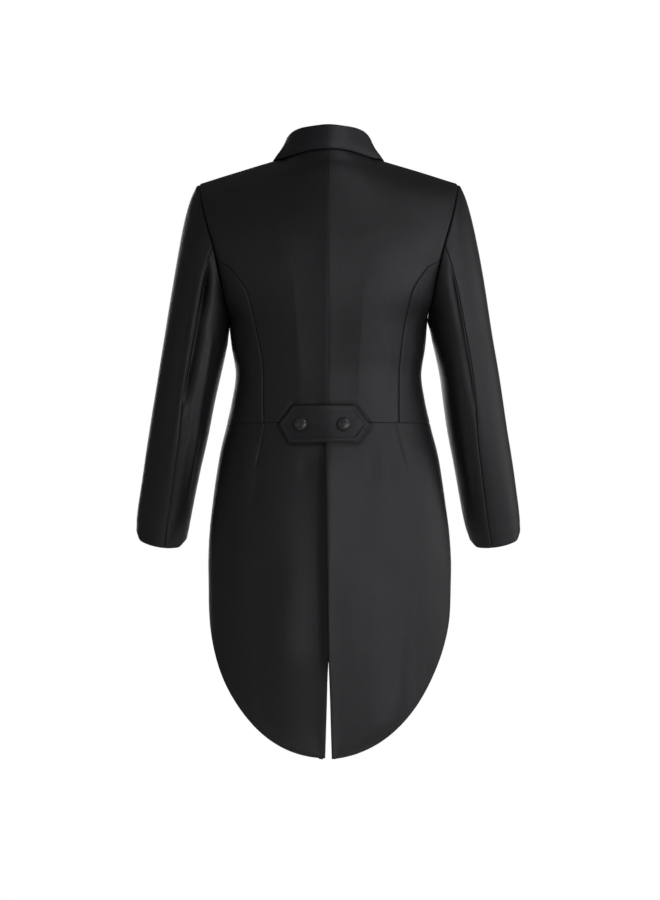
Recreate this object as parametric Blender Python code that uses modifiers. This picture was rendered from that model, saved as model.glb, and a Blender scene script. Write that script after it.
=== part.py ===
"""Black evening tailcoat, filled out with no wearer.

Right-handed frame, metres, +Z up. The front faces -Y, the back +Y, and the
wearer's left is +X. The origin is the middle of the neck opening, level with
the neck points of the shoulder line.

Every panel is a piece of one shared garment surface. Lengths in the tables
are millimetres; MM turns them into metres when a mesh is made.
"""

import math

import bmesh
import bpy
import numpy as np
from mathutils import Matrix

MM = 0.001

# ---------------------------------------------------------------- dimensions
WALL = 2.0             # cloth with its canvas, one layer
SEAM = 0.34            # space left between two sewn panels
FULLNESS = 2.35        # exponent of the body sections, 2 is an ellipse
SHOULDER_DROP = 1.18   # how the shoulder line falls from neck to armhole
NECK_HALF = 72.0       # half width of the neck opening
WAIST_SEAM = -439.0    # height of the seam that joins tails and body
ARMPIT = -265.0        # lowest height of the armhole
HEM_TOP = -715.0       # height where the tail edge turns in to the hem
HEM_HALF = 200.5       # half width of the tails there
HEM_DEPTH = 267.0      # from there to the tips of the tails
HEM_FULL = (0.93, 1.02)   # how full the left and right hems are, 1 is an ellipse
FRONT_POINT = 34.0     # how far the foreparts drop below the waist seam
SIDE_TIP = 2.5         # width of the side body where it starts at the armhole
LAP = 1.3              # half the rise between the two tails at the vent
BELT_LIFT = 2.0        # from the back panels to the under face of the belt
BELT_WALL = 3.0        # the half-belt is two layers
BUTTON_DIA = 21.0      # covered buttons on the half-belt
FRONT_BUTTON_DIA = 19.0

# Back sections: height at the centre back, depth there, the armhole angle at
# which the section ends (or the half width where it goes round the side), and
# how far it takes the form of the neck and shoulder line.
BACK_ROWS = [
    # z_centre, depth, armhole_deg, neck_form
    (20.0, 62.0, 0.0, 1.00),
    (8.0, 69.0, 17.0, 0.86),
    (-15.0, 80.0, 37.0, 0.56),
    (-50.0, 92.0, 61.0, 0.24),
    (-100.0, 107.0, 84.0, 0.05),
    (-150.0, 116.0, 106.0, 0.0),
    (-200.0, 119.0, 132.0, 0.0),
    (-235.0, 117.0, 156.0, 0.0),
    (-265.0, 112.0, 180.0, 0.0),
]

FRONT_ROWS = [
    # z_centre, depth, armhole_deg, neck_form
    (20.0, 62.0, 360.0, 1.00),
    (4.0, 72.0, 345.0, 0.90),
    (-22.0, 84.0, 326.0, 0.66),
    (-60.0, 97.0, 304.0, 0.30),
    (-110.0, 109.0, 283.0, 0.08),
    (-160.0, 116.0, 262.0, 0.0),
    (-205.0, 119.0, 236.0, 0.0),
    (-240.0, 119.0, 208.0, 0.0),
    (-265.0, 118.0, 180.0, 0.0),
]

# Rings below the armhole, down to the tips of the tails.
RINGS = [
    # z, half_width, back_depth, front_depth, side_y
    (-265.0, 165.0, 112.0, 118.0, 5.0),
    (-310.0, 160.5, 101.0, 112.0, 2.0),
    (-358.0, 154.0, 92.0, 105.0, 0.0),
    (-400.0, 160.0, 93.0, 106.0, -1.0),
    (-439.0, 168.5, 98.0, 108.0, -2.0),
    (-483.0, 179.5, 106.0, 111.0, -2.0),
    (-525.0, 186.5, 114.0, 113.0, -2.0),
    (-567.0, 192.5, 120.0, 114.0, -2.0),
    (-610.0, 198.0, 124.0, 115.0, -2.0),
    (-650.0, 201.0, 126.0, 115.0, -2.0),
    (-715.0, 201.0, 126.0, 115.0, -2.0),
    (-780.0, 200.0, 125.0, 114.0, -2.0),
    (-850.0, 198.0, 123.0, 113.0, -2.0),
    (-920.0, 196.0, 120.0, 112.0, -2.0),
    (-985.0, 195.0, 117.0, 111.0, -2.0),
]

# The armhole seam of the wearer's left side, a closed curve. 0 is the
# shoulder point, 90 the back, 180 the armpit, 270 the front.
ARMHOLE = [
    # deg, x, y, z
    (0.0, 215.0, 0.0, -41.0),
    (30.0, 211.0, 34.0, -63.0),
    (60.0, 201.0, 62.0, -105.0),
    (90.0, 188.0, 75.0, -150.0),
    (120.0, 178.0, 68.0, -196.0),
    (150.0, 170.0, 44.0, -241.0),
    (180.0, 165.0, 5.0, -265.0),
    (210.0, 166.5, -38.0, -255.0),
    (240.0, 174.0, -68.0, -222.0),
    (270.0, 184.0, -80.0, -172.0),
    (300.0, 195.0, -70.0, -120.0),
    (330.0, 208.0, -41.0, -71.0),
]

# The sleeve below the armhole: level sections of the wearer's left sleeve.
SLEEVE = [
    # z, outer_x, inner_x, centre_y, half_depth, right_inner
    (-300.0, 273.0, 168.5, -2.0, 66.0, 5.5),
    (-350.0, 281.5, 179.0, -3.0, 62.0, 5.5),
    (-400.0, 289.5, 190.0, -8.0, 58.0, 2.0),
    (-450.0, 298.0, 200.5, -17.0, 55.0, -0.5),
    (-500.0, 307.0, 212.5, -29.0, 52.0, -2.5),
    (-550.0, 315.0, 223.5, -43.0, 49.5, -3.5),
    (-600.0, 323.0, 234.5, -57.0, 47.0, -4.0),
    (-634.0, 326.5, 242.5, -67.0, 46.0, -2.0),
]
SLEEVE_TILT = (0.17, -0.27)   # run of the arm to the side and to the front

# The seam at the back of the sleeve and the one at its front.
SLEEVE_SEAMS = [
    # part of the length, back_deg, front_deg
    (0.00, 90.0, 285.0),
    (0.30, 87.0, 287.0),
    (0.50, 86.0, 288.0),
    (0.75, 96.0, 289.0),
    (1.00, 103.0, 290.0),
]

# Side-back seam, from the waist seam up to the armhole.
SIDE_BACK_SEAM = [
    # z, left_x, right_x
    (-439.0, 106.5, 115.5),
    (-390.0, 107.5, 116.0),
    (-343.0, 108.5, 117.5),
    (-297.0, 117.0, 122.5),
    (-253.0, 126.0, 130.5),
    (-220.0, 137.0, 139.5),
    (-194.0, 156.0, 157.0),
    (-168.0, 180.5, 180.5),
]

# Free edge of the forepart: the roll of the lapel, then the front edge.
FRONT_EDGE = [
    # z, x
    (20.0, 72.0),
    (-20.0, 76.0),
    (-60.0, 75.0),
    (-110.0, 70.0),
    (-160.0, 64.0),
    (-265.0, 54.0),
    (-400.0, 46.0),
    (-480.0, 46.0),
]

# Front edge of the tail above its hem, as an angle round the ring.
TAIL_EDGE = [
    # z, deg
    (-439.0, 138.0),
    (-483.0, 131.0),
    (-567.0, 117.0),
    (-650.0, 101.0),
    (-715.0, 90.0),
]

# Vent edges: the right tail laps over the left down to where they part.
VENT = [
    # z, over_x (right tail), under_x (left tail)
    (-439.0, 6.5, -26.0),
    (-510.0, 4.6, -23.0),
    (-600.0, 3.2, -17.0),
    (-700.0, 1.6, -9.5),
    (-800.0, -0.4, -2.0),
    (-830.0, -1.0, 0.6),
    (-900.0, -3.2, 3.0),
    (-985.0, -5.8, 5.6),
]

# Collar stations from the centre back to the gorge. The leaf edge lies on the
# back panel, then over the shoulder on the forepart.
COLLAR = [
    # side, leaf_z, leaf_x, neck_z, neck_x, rise, lean, swell
    ("back", 9.0, 0.0, 20.0, 0.0, 30.0, 3.5, 1.0),
    ("back", 13.0, 29.0, 20.0, 22.0, 32.5, 3.0, 1.0),
    ("back", 15.2, 56.0, 20.0, 44.0, 36.0, 1.5, 0.5),
    ("back", 18.5, 78.0, 20.0, 61.0, 35.5, -1.0, -1.5),
    ("front", 20.0, 91.0, 20.0, 72.0, 27.5, -3.0, -3.0),
    ("front", 6.0, 98.0, 6.0, 73.6, 17.0, -1.0, 0.5),
    ("front", -20.0, 104.0, -14.0, 75.5, 10.0, 1.5, 3.0),
    ("front", -50.0, 110.0, -34.0, 76.0, 7.0, 3.0, 4.0),
    ("front", -78.0, 115.0, -54.0, 75.2, 4.5, 4.0, 4.0),
]

# Lapel from its break at the waist to the gorge.
LAPEL = [
    # part of the length, width
    (0.00, 5.0),
    (0.20, 29.0),
    (0.45, 56.0),
    (0.70, 76.0),
    (0.90, 87.0),
    (1.00, 90.0),
]
LAPEL_BREAK = -398.0
LAPEL_TOP = [
    # part of the width, z
    (0.00, -60.0),
    (0.48, -86.0),
    (0.56, -86.0),
    (1.00, -66.0),
]

# Six-sided half-belt on the centre back.
BELT = [
    # z, left_x, right_x
    (-472.0, 64.5, -46.0),
    (-442.0, 82.4, -67.3),
    (-409.0, 57.7, -41.4),
]
BELT_BUTTONS = {"belt_button_left": 44.7, "belt_button_right": -24.2}
BELT_BUTTON_Z = -442.5

FRONT_BUTTONS = [
    # z, x
    (-330.0, 104.0),
    (-378.0, 90.0),
    (-426.0, 78.0),
]

CLOTH = (0.016, 0.015, 0.018)
SATIN = (0.022, 0.021, 0.024)
GLOSS = (0.030, 0.029, 0.032)


# ------------------------------------------------------------------- curves
def spline(table, column, at, key=0):
    """Smooth curve through one column of a table, against its key column."""
    rows = sorted(table, key=lambda row: row[key])
    xs = [row[key] for row in rows]
    ys = [row[column] for row in rows]
    if at <= xs[0]:
        return ys[0]
    if at >= xs[-1]:
        return ys[-1]
    i = max(k for k in range(len(xs) - 1) if xs[k] <= at)

    def slope(k):
        if k == 0 or k == len(xs) - 1:
            a, b = (0, 1) if k == 0 else (k - 1, k)
            return (ys[b] - ys[a]) / (xs[b] - xs[a])
        left = (ys[k] - ys[k - 1]) / (xs[k] - xs[k - 1])
        right = (ys[k + 1] - ys[k]) / (xs[k + 1] - xs[k])
        wl, wr = xs[k] - xs[k - 1], xs[k + 1] - xs[k]
        return (left * wr + right * wl) / (wl + wr)

    h = xs[i + 1] - xs[i]
    t = (at - xs[i]) / h
    a, b = slope(i) * h, slope(i + 1) * h
    return (
        (2 * t**3 - 3 * t**2 + 1) * ys[i]
        + (t**3 - 2 * t**2 + t) * a
        + (-2 * t**3 + 3 * t**2) * ys[i + 1]
        + (t**3 - t**2) * b
    )


def straight(table, column, at, key=0):
    rows = sorted(table, key=lambda row: row[key])
    return float(np.interp(at, [r[key] for r in rows], [r[column] for r in rows]))


ARMHOLE_LOOP = (
    [(row[0] - 360.0,) + row[1:] for row in ARMHOLE[-2:]]
    + ARMHOLE
    + [(row[0] + 360.0,) + row[1:] for row in ARMHOLE[:3]]
)


def armhole(deg):
    return np.array([spline(ARMHOLE_LOOP, c, deg) for c in (1, 2, 3)])


def unit(v):
    return v / max(np.linalg.norm(v), 1e-9)


# ----------------------------------------------------------- garment surface
def section(z, front):
    """End point, centre depth and neck form of one body section."""
    if z > ARMPIT:
        table = FRONT_ROWS if front else BACK_ROWS
        depth = spline(table, 1, z)
        end = armhole(spline(table, 2, z))
        form = spline(table, 3, z)
    else:
        depth = spline(RINGS, 3 if front else 2, z)
        end = np.array([spline(RINGS, 1, z), spline(RINGS, 4, z), z])
        form = 0.0
    return end, (-depth if front else depth), form


def body(z, deg):
    """Outer face of the wearer's left half. 0 is the centre back, 90 the side
    or the armhole, 180 the centre front."""
    front = deg > 90.0
    end, depth, form = section(z, front)
    a = math.radians(deg)
    across = max(math.sin(a), 0.0) ** (2.0 / FULLNESS)
    along = abs(math.cos(a)) ** (2.0 / FULLNESS)
    x = end[0] * across
    neck = max(1.0 - (x / NECK_HALF) ** 2, 0.0) ** 0.8
    y = end[1] + (depth - end[1]) * ((1.0 - form) * along + form * neck)
    return np.array([x, y, z + (end[2] - z) * across**SHOULDER_DROP])


def angle_at(z, x, front=False):
    end, _, _ = section(z, front)
    part = min(max(x / end[0], 0.0), 1.0) ** (FULLNESS / 2.0)
    a = math.degrees(math.asin(part))
    return 180.0 - a if front else a


def angle_on_curve(z, table, front=False, column=1):
    """Where the section that starts at height z crosses a curve x(z)."""
    end, _, _ = section(z, front)
    level = z
    for _ in range(12):
        x = min(spline(table, column, level), end[0])
        level = z + (end[2] - z) * (x / end[0]) ** SHOULDER_DROP
    return angle_at(z, x, front)


def body_normal(z, deg):
    step_z = 1.5
    hi, lo = min(z + step_z, 20.0), max(z - step_z, -985.0)
    d_hi, d_lo = min(deg + 0.8, 180.0), max(deg - 0.8, 0.0)
    if (deg - 90.0) * (d_hi - 90.0) < 0 or (deg - 90.0) * (d_lo - 90.0) < 0 or deg == 90.0:
        d_hi, d_lo = (min(deg, 90.0), deg - 0.8) if deg <= 90.0 else (deg + 0.8, deg)
    if d_hi == d_lo:
        d_lo -= 0.8
    dz = body(hi, deg) - body(lo, deg)
    da = body(z, d_hi) - body(z, d_lo)
    n = unit(np.cross(da, dz))
    p = body(z, deg)
    return n if n[0] * p[0] + n[1] * p[1] + 0.4 * n[2] * 60.0 > 0 else -n


def on_body(z, x, lift, front=False):
    """A point lifted off the body, x may be on the wearer's right."""
    deg = angle_at(z, abs(x), front)
    p = body(z, deg) + body_normal(z, deg) * lift
    if x < 0:
        p[0] = -p[0]
    return p


# ------------------------------------------------------------ sleeve surface
def sleeve_ring(deg, z, right=False):
    outer, inner, cy, half = (spline(SLEEVE, c, z) for c in (1, 2, 3, 4))
    if right:
        inner += spline(SLEEVE, 5, z)
    a = math.radians(deg)
    dx = 0.5 * (outer - inner) * math.cos(a)
    dy = half * math.sin(a)
    lean = min(1.0, max(0.0, (-z - 250.0) / 200.0))
    tilt_x, tilt_y = SLEEVE_TILT[0], SLEEVE_TILT[1] * lean
    return np.array([0.5 * (outer + inner) + dx, cy + dy, z + tilt_x * dx + tilt_y * dy])


SLEEVE_TOP, SLEEVE_END = SLEEVE[0][0], SLEEVE[-1][0]
CAP_PART = 0.42


def sleeve(deg, part, right=False):
    """Outer face of a sleeve, both as on the wearer's left. part runs from
    the armhole seam, 0, to the cuff, 1."""
    if part >= CAP_PART:
        t = (part - CAP_PART) / (1.0 - CAP_PART)
        return sleeve_ring(deg, SLEEVE_TOP + (SLEEVE_END - SLEEVE_TOP) * t, right)
    t = part / CAP_PART
    p0, p1 = armhole(deg % 360.0), sleeve_ring(deg, SLEEVE_TOP, right)
    run = np.linalg.norm(p1 - p0)
    down = unit(sleeve_ring(deg, SLEEVE_TOP - 8.0, right) - p1)
    a = math.radians(deg)
    out = unit(np.array([
        0.375 * (1.0 + math.cos(a)) + 0.35 * abs(math.sin(a)),
        0.35 * math.sin(a),
        -0.80 + 0.15 * math.cos(a),
    ]))
    t0, t1 = out * (60.0 + 40.0 * math.cos(a)), down * run
    return (
        (2 * t**3 - 3 * t**2 + 1) * p0
        + (t**3 - 2 * t**2 + t) * t0
        + (-2 * t**3 + 3 * t**2) * p1
        + (t**3 - t**2) * t1
    )


# ------------------------------------------------------------------- meshes
def material(name, colour, rough):
    mat = bpy.data.materials.new(name)
    mat.use_nodes = True
    shader = mat.node_tree.nodes["Principled BSDF"]
    shader.inputs["Base Color"].default_value = (*colour, 1.0)
    shader.inputs["Roughness"].default_value = rough
    shader.inputs["Metallic"].default_value = 0.0
    return mat


def grid_normals(grid, core):
    """Normals of a lofted surface from its own points, facing off the core."""
    rows, columns = len(grid), len(grid[0])
    normals, score = [], 0.0
    for j in range(rows):
        line = []
        for i in range(columns):
            across = grid[j][min(i + 1, columns - 1)] - grid[j][max(i - 1, 0)]
            along = grid[min(j + 1, rows - 1)][i] - grid[max(j - 1, 0)][i]
            line.append(unit(np.cross(across, along)))
            score += float(np.dot(line[-1], grid[j][i] - core[j]))
        normals.append(line)
    return normals if score > 0 else [[-n for n in line] for line in normals]


def lofted(name, grid, normals, colour, rough=0.85, wall=WALL, outside=0.0, mirrored=False):
    """A wall lofted through rows of points: its outer face stands `outside`
    off them, its inner face is one wall thickness in, and a rim joins them."""
    flip = np.array([-1.0, 1.0, 1.0]) if mirrored else np.ones(3)
    rows, columns = len(grid), len(grid[0])
    mesh = bpy.data.meshes.new(name)
    bm = bmesh.new()

    def layer(off):
        return [[bm.verts.new((grid[j][i] + normals[j][i] * off) * flip * MM)
                 for i in range(columns)] for j in range(rows)]

    outer, inner = layer(outside), layer(outside - wall)
    score = 0.0
    for j in range(rows - 1):
        for i in range(columns - 1):
            n = np.cross(grid[j + 1][i + 1] - grid[j][i], grid[j + 1][i] - grid[j][i + 1])
            score += float(np.dot(n, normals[j][i]))
    forward = (score > 0) != mirrored

    def face(loop):
        bm.faces.new(loop if forward else loop[::-1])

    for j in range(rows - 1):
        for i in range(columns - 1):
            for sheet, turn in ((outer, 1), (inner, -1)):
                p, q, r, t = sheet[j][i], sheet[j][i + 1], sheet[j + 1][i + 1], sheet[j + 1][i]
                face([p, q, r][::turn])
                face([p, r, t][::turn])
    rim = [(0, i) for i in range(columns)] + [(j, columns - 1) for j in range(1, rows)]
    rim += [(rows - 1, i) for i in range(columns - 2, -1, -1)]
    rim += [(j, 0) for j in range(rows - 2, 0, -1)]
    for (j, i), (m, k) in zip(rim, rim[1:] + rim[:1]):
        # one diagonal for both panels of a seam, so that their edges match
        oa, ia, ob, ib = outer[j][i], inner[j][i], outer[m][k], inner[m][k]
        pair = ([ob, oa, ib], [oa, ia, ib]) if (j, i) < (m, k) else ([ob, oa, ia], [ob, ia, ib])
        face(pair[0])
        face(pair[1])
    bm.to_mesh(mesh)
    bm.free()
    mesh.shade_smooth()
    mesh.set_sharp_from_angle(angle=math.radians(40.0))
    obj = bpy.data.objects.new(name, mesh)
    parts.objects.link(obj)
    mesh.materials.append(material(name + "_cloth", colour, rough))
    return obj


def button(name, centre, normal, across, colour):
    """A covered button: a low dome on a short shank."""
    mesh = bpy.data.meshes.new(name)
    bm = bmesh.new()
    r, h = across / 2.0, across * 0.30
    profile = [(0.0, h), (r * 0.48, h * 0.93), (r * 0.85, h * 0.62), (r, h * 0.26),
               (r * 0.80, 0.0)]
    verts = [bm.verts.new((x * MM, 0.0, z * MM)) for x, z in profile]
    verts.append(bm.verts.new((0.0, 0.0, 0.0)))
    for a, b in zip(verts, verts[1:]):
        bm.edges.new((a, b))
    bm.to_mesh(mesh)
    bm.free()
    obj = bpy.data.objects.new(name, mesh)
    parts.objects.link(obj)
    mesh.materials.append(material(name + "_cover", colour, 0.3))
    screw = obj.modifiers.new("turn", "SCREW")
    screw.axis = "Z"
    screw.steps = screw.render_steps = 14
    screw.use_merge_vertices = True
    screw.merge_threshold = 0.00005
    screw.use_smooth_shade = True
    side = unit(np.cross([0.0, 0.0, 1.0], normal))
    up = np.cross(normal, side)
    turn = Matrix([[side[i], up[i], normal[i]] for i in range(3)]).to_4x4()
    obj.matrix_world = Matrix.Translation([c * MM for c in centre]) @ turn
    return obj


def trimmed(surface, row, lo, hi, count, lo_gap, hi_gap):
    """Angles at even steps of length across one row, with the seam space
    taken off each end."""
    fine = [lo + (hi - lo) * k / 72.0 for k in range(73)]
    points = [surface(row, a) for a in fine]
    run = [0.0]
    for p, q in zip(points, points[1:]):
        run.append(run[-1] + float(np.linalg.norm(q - p)))
    first, last = lo_gap, run[-1] - hi_gap
    steps = [first + (last - first) * i / count for i in range(count + 1)]
    return [float(np.interp(s, run, fine)) for s in steps]


def side_back(z, right):
    return angle_on_curve(z, SIDE_BACK_SEAM, column=2 if right else 1)


def ring(z, deg):
    """The body surface carried past the centre back to the other side."""
    p = body(z, abs(deg))
    return p if deg >= 0 else p * np.array([-1.0, 1.0, 1.0])


def ring_normal(z, deg):
    n = body_normal(z, max(abs(deg), 0.4))
    return n if deg >= 0 else n * np.array([-1.0, 1.0, 1.0])


def build_body():
    half = SEAM / 2.0
    seam_top = -148.0        # section whose end is the top of the side-back seam
    upper = [19.6, 10.0, -3.0, -20.0, -42.0, -68.0, -95.0, -122.0, seam_top]
    middle = [-166.0, -184.0, -203.0, -224.0, -245.0, -265.0]
    lower = [-295.0, -328.0, -361.0, -394.0, -418.0, WAIST_SEAM + half]

    for name, mirrored in (("left", False), ("right", True)):
        # centre back
        grid, normals = [], []
        for z in upper + middle + lower:
            end = 90.0 if z >= seam_top else side_back(z, mirrored)
            gap = SEAM if z > seam_top else half
            if z == seam_top:
                gap = SEAM + SIDE_TIP + half
            angles = trimmed(body, z, 0.0, end, 8, half, gap)
            grid.append([body(z, a) for a in angles])
            normals.append([body_normal(z, a) for a in angles])
        lofted(f"back_{name}", grid, normals, CLOTH, mirrored=mirrored)

        # side body
        grid, normals = [], []
        for z in [seam_top] + middle + lower:
            start, gap = side_back(z, mirrored), half
            if z == seam_top:
                # the tip of the side body, under the armhole seam
                start = trimmed(body, z, 60.0, 90.0, 1, 0.0, SEAM + SIDE_TIP)[1]
                gap = 0.0
            angles = trimmed(body, z, start, 90.0, 5, gap, SEAM if z >= ARMPIT else half)
            grid.append([body(z, a) for a in angles])
            normals.append([body_normal(z, a) for a in angles])
        lofted(f"side_back_{name}", grid, normals, CLOTH, mirrored=mirrored)

        # forepart, its lower edge drops to a point past the tail
        rows = [19.6, 9.0, -6.0, -25.0, -48.0, -75.0, -104.0, -134.0, -164.0, -192.0,
                -220.0, -244.0, -265.0, -295.0, -328.0, -361.0, -394.0, -418.0,
                WAIST_SEAM + half]
        grid, normals = [], []
        for z in rows:
            edge = angle_on_curve(z, FRONT_EDGE, front=True)
            bend = min(139.5, edge - 8.0) if z < -300.0 else 90.0 + (edge - 90.0) * 0.6
            angles = trimmed(body, z, 90.001, bend, 5, SEAM if z >= ARMPIT else half, 0.0)
            angles += trimmed(body, z, bend, edge, 3, 0.0, 0.0)[1:]
            fall = min(max((-z - 340.0) / 99.0, 0.0), 1.0) ** 2
            row, line = [], []
            for a in angles:
                part = min(max((a - 139.5) / (edge - 139.5), 0.0), 1.0)
                row.append(body(z - FRONT_POINT * part * fall, a))
                line.append(body_normal(z - FRONT_POINT * part * fall, a))
            grid.append(row)
            normals.append(line)
        lofted(f"front_{name}", grid, normals, CLOTH, mirrored=mirrored)

    # tails, the right one lies over the left one at the vent
    turn = [math.radians(87.5) * i / 9.0 for i in range(1, 10)]
    rows = [WAIST_SEAM - half, -466.0, -502.0, -545.0, -590.0, -635.0, -676.0, HEM_TOP]
    rows += [HEM_TOP - HEM_DEPTH * math.sin(t) for t in turn]
    for name, mirrored in (("left", False), ("right", True)):
        lap = LAP if mirrored else -LAP
        grid, normals = [], []
        for z in rows:
            start = -spline(VENT, 1, z) if mirrored else spline(VENT, 2, z)
            first = math.copysign(angle_at(z, abs(start)), start)
            if z >= HEM_TOP:
                last = spline(TAIL_EDGE, 1, z)
            else:
                t = math.asin(min((HEM_TOP - z) / HEM_DEPTH, 1.0))
                last = angle_at(z, HEM_HALF * math.cos(t) ** HEM_FULL[int(mirrored)])
            row, line = [], []
            for a in trimmed(ring, z, first, last, 11, 0.0, 0.0):
                p, n = ring(z, a), ring_normal(z, a)
                near = 1.0 / (1.0 + (max(p[0], 0.0) / 42.0) ** 4)
                row.append(p + n * lap * near)
                line.append(n)
            grid.append(row)
            normals.append(line)
        lofted(f"tail_{name}", grid, normals, CLOTH, mirrored=mirrored)


def sleeve_normal(part, deg, right):
    lo, hi = max(part - 0.008, 0.0), min(part + 0.008, 1.0)
    around = sleeve(deg + 1.0, part, right) - sleeve(deg - 1.0, part, right)
    return unit(np.cross(sleeve(deg, hi, right) - sleeve(deg, lo, right), around))


def build_sleeves():
    half = SEAM / 2.0
    cap = [0.0, 0.03, 0.07, 0.12, 0.18, 0.25, 0.33, CAP_PART]
    arm = [0.50, 0.58, 0.66, 0.74, 0.82, 0.91, 1.0]
    for name, mirrored in (("left", False), ("right", True)):
        for piece, count in (("top", 8), ("under", 9 if mirrored else 8)):
            grid, normals = [], []
            for part in cap + arm:
                back, front = (spline(SLEEVE_SEAMS, c, part) for c in (1, 2))
                lo, hi = (front - 360.0, back) if piece == "top" else (back, front)
                angles = trimmed(lambda r, d: sleeve(d, r, mirrored), part, lo, hi, count,
                                 half, half)
                row = []
                for a in angles:
                    p = sleeve(a, part, mirrored)
                    if part == 0.0:
                        # the first row stands off the armhole seam, more over
                        # the shoulder, where the two walls lean together
                        lift = SEAM * 0.6 + 0.7 * max(math.cos(math.radians(a)), 0.0)
                        p = p + unit(sleeve(a, 0.02, mirrored) - p) * lift
                    row.append(p)
                grid.append(row)
                normals.append([sleeve_normal(part, a, mirrored) for a in angles])
            lofted(f"{piece}_sleeve_{name}", grid, normals, CLOTH, mirrored=mirrored)


def collar_section(station):
    side, leaf_z, leaf_x, neck_z, neck_x, rise, lean, swell = station
    front = side == "front"
    neck = on_body(neck_z, neck_x, 0.0, front)
    neck_n = body_normal(neck_z, angle_at(neck_z, neck_x, front))
    leaf = on_body(leaf_z, leaf_x, 3.4, front)
    out = leaf - neck
    out[2] = 0.0
    out = unit(out) if np.linalg.norm(out) > 1e-6 else np.array([0.0, 1.0, 0.0])
    up = np.array([0.0, 0.0, 1.0])
    r = 2.7
    fold = neck + up * rise + out * lean
    if front and rise < 20.0:
        fold = fold + neck_n * (1.5 + 0.1 * (20.0 - rise))
    centre = fold - up * r
    base = neck + up * 1.2 if rise > 20.0 else neck + neck_n * 2.2 - out * 0.6
    stand_top = centre - out * r
    points = [base + (stand_top - base) * k for k in (0.0, 0.5)]
    for deg in (180.0, 135.0, 90.0, 45.0, 0.0):
        a = math.radians(deg)
        points.append(centre + out * (r * math.cos(a)) + up * (r * math.sin(a)))
    start = points[-1]
    control = (start + leaf) / 2.0 + (out * 0.7 + up * 0.7) * swell
    for k in (0.25, 0.5, 0.75, 1.0):
        points.append((1 - k) ** 2 * start + 2 * k * (1 - k) * control + k**2 * leaf)
    return points


def build_collar():
    stations = [collar_section(s) for s in COLLAR]
    columns = len(stations[0])
    keys = list(range(len(stations)))
    halves = []
    steps = 13
    for k in range(steps + 1):
        at = k * (len(stations) - 1) / steps
        row = []
        for c in range(columns):
            # mirrored neighbours keep the curve square to the centre line
            pts = [np.array([-stations[1][c][0], *stations[1][c][1:]])] + [s[c] for s in stations]
            table = [(float(i - 1), *p) for i, p in enumerate(pts)]
            row.append(np.array([spline(table, j, at) for j in (1, 2, 3)]))
        halves.append(row)
    right = [[np.array([-p[0], p[1], p[2]]) for p in row] for row in halves[:0:-1]]
    grid = right + halves
    core = [np.mean(row, axis=0) - np.array([0.0, 0.0, 14.0]) for row in grid]
    lofted("collar", grid, grid_normals(grid, core), SATIN, rough=0.7, wall=2.2, outside=1.1)


def build_lapels():
    for name, mirrored in (("left", False), ("right", True)):
        grid, core = [], []
        rows = 9
        for j in range(rows + 1):
            v = j / rows
            row = []
            for i in range(6):
                u = i / 5.0
                z = LAPEL_BREAK + (straight(LAPEL_TOP, 1, u) - LAPEL_BREAK) * v
                x = spline(FRONT_EDGE, 1, z) + 0.4 + u * spline(LAPEL, 1, v)
                row.append(on_body(z, x, 3.1 + 0.8 * math.sin(math.pi * u), front=True))
            grid.append(row)
            core.append(np.array([0.0, 0.0, row[0][2]]))
        lofted(f"lapel_{name}", grid, grid_normals(grid, core), SATIN, rough=0.7,
               mirrored=mirrored)


def build_belt():
    grid, core = [], []
    for z in (-472.0, -457.0, -442.0, -425.5, -409.0):
        left, right = straight(BELT, 1, z), straight(BELT, 2, z)
        row = []
        for i in range(13):
            x = left + (right - left) * i / 12.0
            row.append(on_body(z, math.copysign(max(abs(x), 0.5), x), BELT_LIFT + BELT_WALL))
        grid.append(row)
        core.append(np.array([0.0, 0.0, z]))
    lofted("half_belt", grid, grid_normals(grid, core), CLOTH, wall=BELT_WALL)
    for name, x in BELT_BUTTONS.items():
        place = on_body(BELT_BUTTON_Z, x, BELT_LIFT + BELT_WALL + 0.7)
        n = body_normal(BELT_BUTTON_Z, angle_at(BELT_BUTTON_Z, abs(x)))
        if x < 0:
            n = np.array([-n[0], n[1], n[2]])
        button(name, place, n, BUTTON_DIA, GLOSS)


def build_front_buttons():
    for k, (z, x) in enumerate(FRONT_BUTTONS, 1):
        for name, sign in (("left", 1.0), ("right", -1.0)):
            place = on_body(z, sign * x, 0.6, front=True)
            n = body_normal(z, angle_at(z, x, front=True))
            n = np.array([sign * n[0], n[1], n[2]])
            button(f"front_button_{name}_{k}", place, n, FRONT_BUTTON_DIA, GLOSS)


for old in list(bpy.data.objects):
    bpy.data.objects.remove(old, do_unlink=True)
parts = bpy.data.collections.new("tailcoat")
bpy.context.scene.collection.children.link(parts)

build_body()
build_sleeves()
build_collar()
build_lapels()
build_belt()
build_front_buttons()
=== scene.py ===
"""Looks of the black evening tailcoat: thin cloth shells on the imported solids.

Same frame as the part: the front faces -Y, the back +Y, +Z up, the wearer's
left is +X, the origin is in the neck opening. Lengths in the tables are
millimetres, MM turns them into metres when a mesh is made.
"""

import math

import bpy
import numpy as np
from mathutils import Matrix, Vector


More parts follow.
